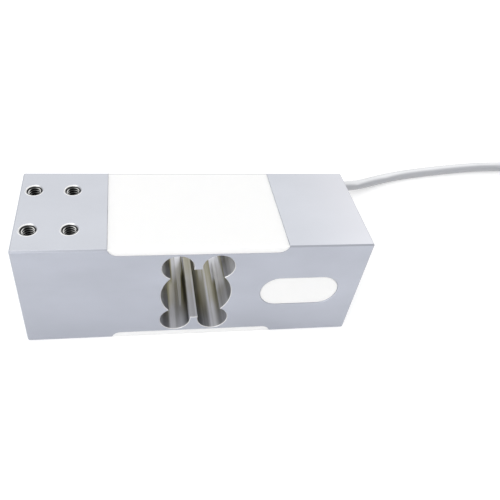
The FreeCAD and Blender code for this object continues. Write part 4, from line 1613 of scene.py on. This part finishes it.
@dataclass
class LeadEnds:
    """The stripped end: four insulated wires with tinned tips, and the twisted bare screen."""

    end: Vector
    diameter: float = 1.4 * MM
    ring: float = 1.5 * MM
    straight: float = 7.0 * MM
    landing: tuple[float, float] = (0.55, 0.52)
    tip: float = 7.0 * MM
    tip_hidden: float = 0.5 * MM
    tip_diameter: float = 0.9 * MM
    tip_wires: int = 6
    screen_wires: int = 9
    lay: float = 5.5
    steps: int = 90
    wires: tuple[Wire, ...] = (
        Wire("lead_red", -12.0, -31.0, 150.0, (0.55, 0.015, 0.015)),
        Wire("lead_black", -4.5, -35.0, 222.0, (0.012, 0.012, 0.012)),
        Wire("lead_green", 3.5, -34.0, 318.0, (0.01, 0.25, 0.05)),
        Wire("lead_white", 11.0, -30.0, 30.0, (0.85, 0.85, 0.83)),
    )
    screen: Wire = Wire("lead_shield", -0.5, -31.0, 90.0)

    def route(self, wire: Wire) -> list[Vector]:
        """A wire's control points from the sheath to the floor.

        Args:
            wire: where it lies.

        Returns:
            The points.
        """
        angle = math.radians(wire.angle)
        start = self.end + Vector((math.cos(angle), 0.0, math.sin(angle))) * self.ring
        points = [start, start - Vector((0, self.straight, 0))]
        for share_x, share_y in (self.landing, (1.0, 1.0)):
            x = self.end.x + share_x * wire.side * MM
            y = self.end.y + share_y * wire.along * MM
            points.append(Vector((x, y, self.diameter / 2)))
        return points

    def dress(self) -> None:
        tinned = Metal("tinned_copper", (0.78, 0.77, 0.74)).paint()
        for wire in self.wires:
            name, points = f"{wire.node}_wire", self.route(wire)
            skin = Plastic(f"{wire.node}_insulation", wire.colour).paint()
            tube = spline_curve(name, points, self.diameter / 2)
            piece = new_piece(name, tube, skin, wire.node, wire.node)
            ahead = (points[-1] - points[-2]).normalized()
            ends = [points[-1] - ahead * self.tip_hidden, points[-1] + ahead * self.tip]
            bare = self.strands(f"{wire.node}_tip", ends, self.tip_diameter, self.tip_wires, tinned)
            tip = new_piece(f"{wire.node}_tip", bare, tinned, "tinned_copper", "tinned_ends")
            self.declare(points)
        name, points = f"{self.screen.node}_twist", self.route(self.screen)
        bundle = self.strands(name, points, self.diameter, self.screen_wires, tinned)
        twist = new_piece(name, bundle, tinned, "tinned_copper", self.screen.node)
        self.declare(points)

    def declare(
        self, points: list[Vector]
    ) -> None:
        """Make a mesh of the spline that a wire follows; nothing uses it.

        Args:
            points: its control points.
        """
        spline = evaluated_mesh(bpy.data.objects.new("line", spline_curve("line", points, 0.0)))

    def strands(
        self, name: str, points: list[Vector], across: float, count: int, metal: bpy.types.Material
    ) -> bpy.types.Mesh:
        """A bundle of fine wires twisted together along a spline.

        Args:
            name: the bundle's name.
            points: the spline's control points.
            across: the bundle's diameter.
            count: how many wires lie round the middle one.
            metal: their finish.

        Returns:
            The mesh.
        """
        fine = across / 2 / (1 + 1 / math.sin(math.pi / count))
        sizes = {"Wires": count, "Fine": fine, "Ring": across / 2 - fine}
        sizes |= {"Lay": self.lay * across, "Steps": self.steps}
        recipe = Recipe(name, sizes, spline_curve(name, points, 0.0))
        evenly = {"Curve": recipe.input("Geometry"), "Count": recipe.input("Steps")}
        spaced = recipe.made("GeometryNodeResampleCurve", {"mode": "COUNT"}, evenly)
        tilt = recipe.made("GeometryNodeSplineParameter", key="Length") / recipe.input("Lay") * math.tau
        twisted = recipe.made("GeometryNodeSetCurveTilt", None, {"Curve": spaced, "Tilt": tilt})
        places = {"Vertices": recipe.input("Wires"), "Radius": recipe.input("Ring")}
        ring = recipe.made("GeometryNodeMeshCircle", None, places)
        wires = recipe.copies(ring, recipe.circle(7, recipe.input("Fine")))
        both = recipe.add("GeometryNodeJoinGeometry", None, {0: wires})
        recipe.tree.links.new(recipe.circle(10, recipe.input("Ring")).link, both.inputs[0])
        section = recipe.made("GeometryNodeRealizeInstances", None, {0: Sock(recipe, both.outputs[0])})
        return recipe.make(recipe.tube(twisted, section), metal)


# ------------------------------------------------------------------ the studio
@dataclass
class Studio:
    """A pale floor, soft light all round and the camera."""

    floor_reach: float = 6.0
    floor_colour: Colour = (0.78, 0.78, 0.78)
    floor_glow: float = 0.40
    sky: float = 0.76
    white: Colour = (1.0, 1.0, 1.0)
    camera_place: Point = (-0.0340679, -0.2147133, 0.2412893)
    camera_turn: Point = (0.8081, -0.091, -0.1251)
    lens: float = 39.51
    sensor: float = 36.0
    shift: tuple[float, float] = (0.0753, 0.0048)
    clip: tuple[float, float] = (0.01, 50.0)
    aim: Point = (0.0, 0.0, 0.03)

    def dress(self) -> None:
        """Set the scene round the part."""
        bpy.context.scene.view_settings.view_transform = "Standard"
        self.camera()
        self.floor()
        self.world()
        self.lamp("key", (0.85, 0.60, 1.00), 0.7, 1.6)
        self.lamp("fill", (-0.8, -0.85, 0.9), 0.8, 9.0)

    def camera(self) -> None:
        """Stand the camera where it looks down on the wiring pocket's side."""
        eye = bpy.data.cameras.new("camera")
        eye.lens, eye.sensor_width = self.lens, self.sensor
        eye.shift_x, eye.shift_y = self.shift
        eye.clip_start, eye.clip_end = self.clip
        stand = bpy.data.objects.new("camera", eye)
        stand.location = self.camera_place
        stand.rotation_euler = Euler(self.camera_turn, "XYZ")
        bpy.context.scene.collection.objects.link(stand)
        bpy.context.scene.camera = stand

    def seen(self, g: Graph) -> Sock:
        """1 for a ray from the camera, straight or by a mirror or glass, and 0 for others.

        Args:
            g: the tree that asks.

        Returns:
            The mask.
        """
        ray = g.add("ShaderNodeLightPath", None, {})
        rays = ("Is Camera Ray", "Is Glossy Ray", "Is Transmission Ray")
        straight, mirrored, through = (Sock(g, ray.outputs[name]) for name in rays)
        return (straight + mirrored + through).at_most(1.0)

    def floor(self) -> None:
        """Lay the floor, which keeps the part's shadow."""
        r = self.floor_reach
        mesh = bpy.data.meshes.new("floor")
        mesh.from_pydata([(-r, -r, 0), (r, -r, 0), (r, r, 0), (-r, r, 0)], [], [(0, 1, 2, 3)])
        g = Graph.named("pale_floor")
        speck = g.grain(g.position(), 300, 2, 0.5)
        colour = g.shaded(speck, self.floor_colour, 1.0, 1.01)
        matt = g.made("ShaderNodeBsdfDiffuse", None, {"Color": colour})
        glow = g.made("ShaderNodeEmission", None, {"Strength": self.seen(g) * self.floor_glow})
        both = g.made("ShaderNodeAddShader", None, {0: matt, 1: glow})
        g.add("ShaderNodeOutputMaterial", None, {0: both})
        mesh.materials.append(g.owner)
        floor = bpy.data.objects.new("floor", mesh)
        bpy.context.scene.collection.objects.link(floor)
        floor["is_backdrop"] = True

    def world(self) -> None:
        """Light the part evenly from all round, with a white surround."""
        world = bpy.data.worlds.new("studio")
        bpy.context.scene.world = world
        g = Graph(world)
        level = self.seen(g) * (1.0 - self.sky) + self.sky
        light = g.made("ShaderNodeBackground", None, {"Color": self.white, "Strength": level})
        g.add("ShaderNodeOutputWorld", None, {0: light})

    def lamp(self, name: str, place: Point, size: float, power: float) -> None:
        """Hang a square soft lamp that faces the part.

        Args:
            name: the lamp's name.
            place: where it hangs.
            size: its side.
            power: its power in watts.
        """
        light = bpy.data.lights.new(name, "AREA")
        light.size, light.energy = size, power
        stand = bpy.data.objects.new(name, light)
        stand.location = place
        towards = Vector(self.aim) - Vector(place)
        stand.rotation_euler = towards.to_track_quat("-Z", "Y").to_euler()
        bpy.context.scene.collection.objects.link(stand)


def main() -> None:
    """Dress the part and set the scene round it."""
    logging.basicConfig(level=logging.INFO, format="%(name)s: %(message)s")
    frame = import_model()
    nodes, packed = frame["nodes"], [corner.copy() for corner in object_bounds()]
    places = BeamPlaces()
    Studio().dress()
    Lead(Coil()).dress(nodes)
    Beam(places).dress(nodes)
    Potting(places).dress()
    Bridge(places).dress(nodes)


if __name__ == "__main__":
    main()
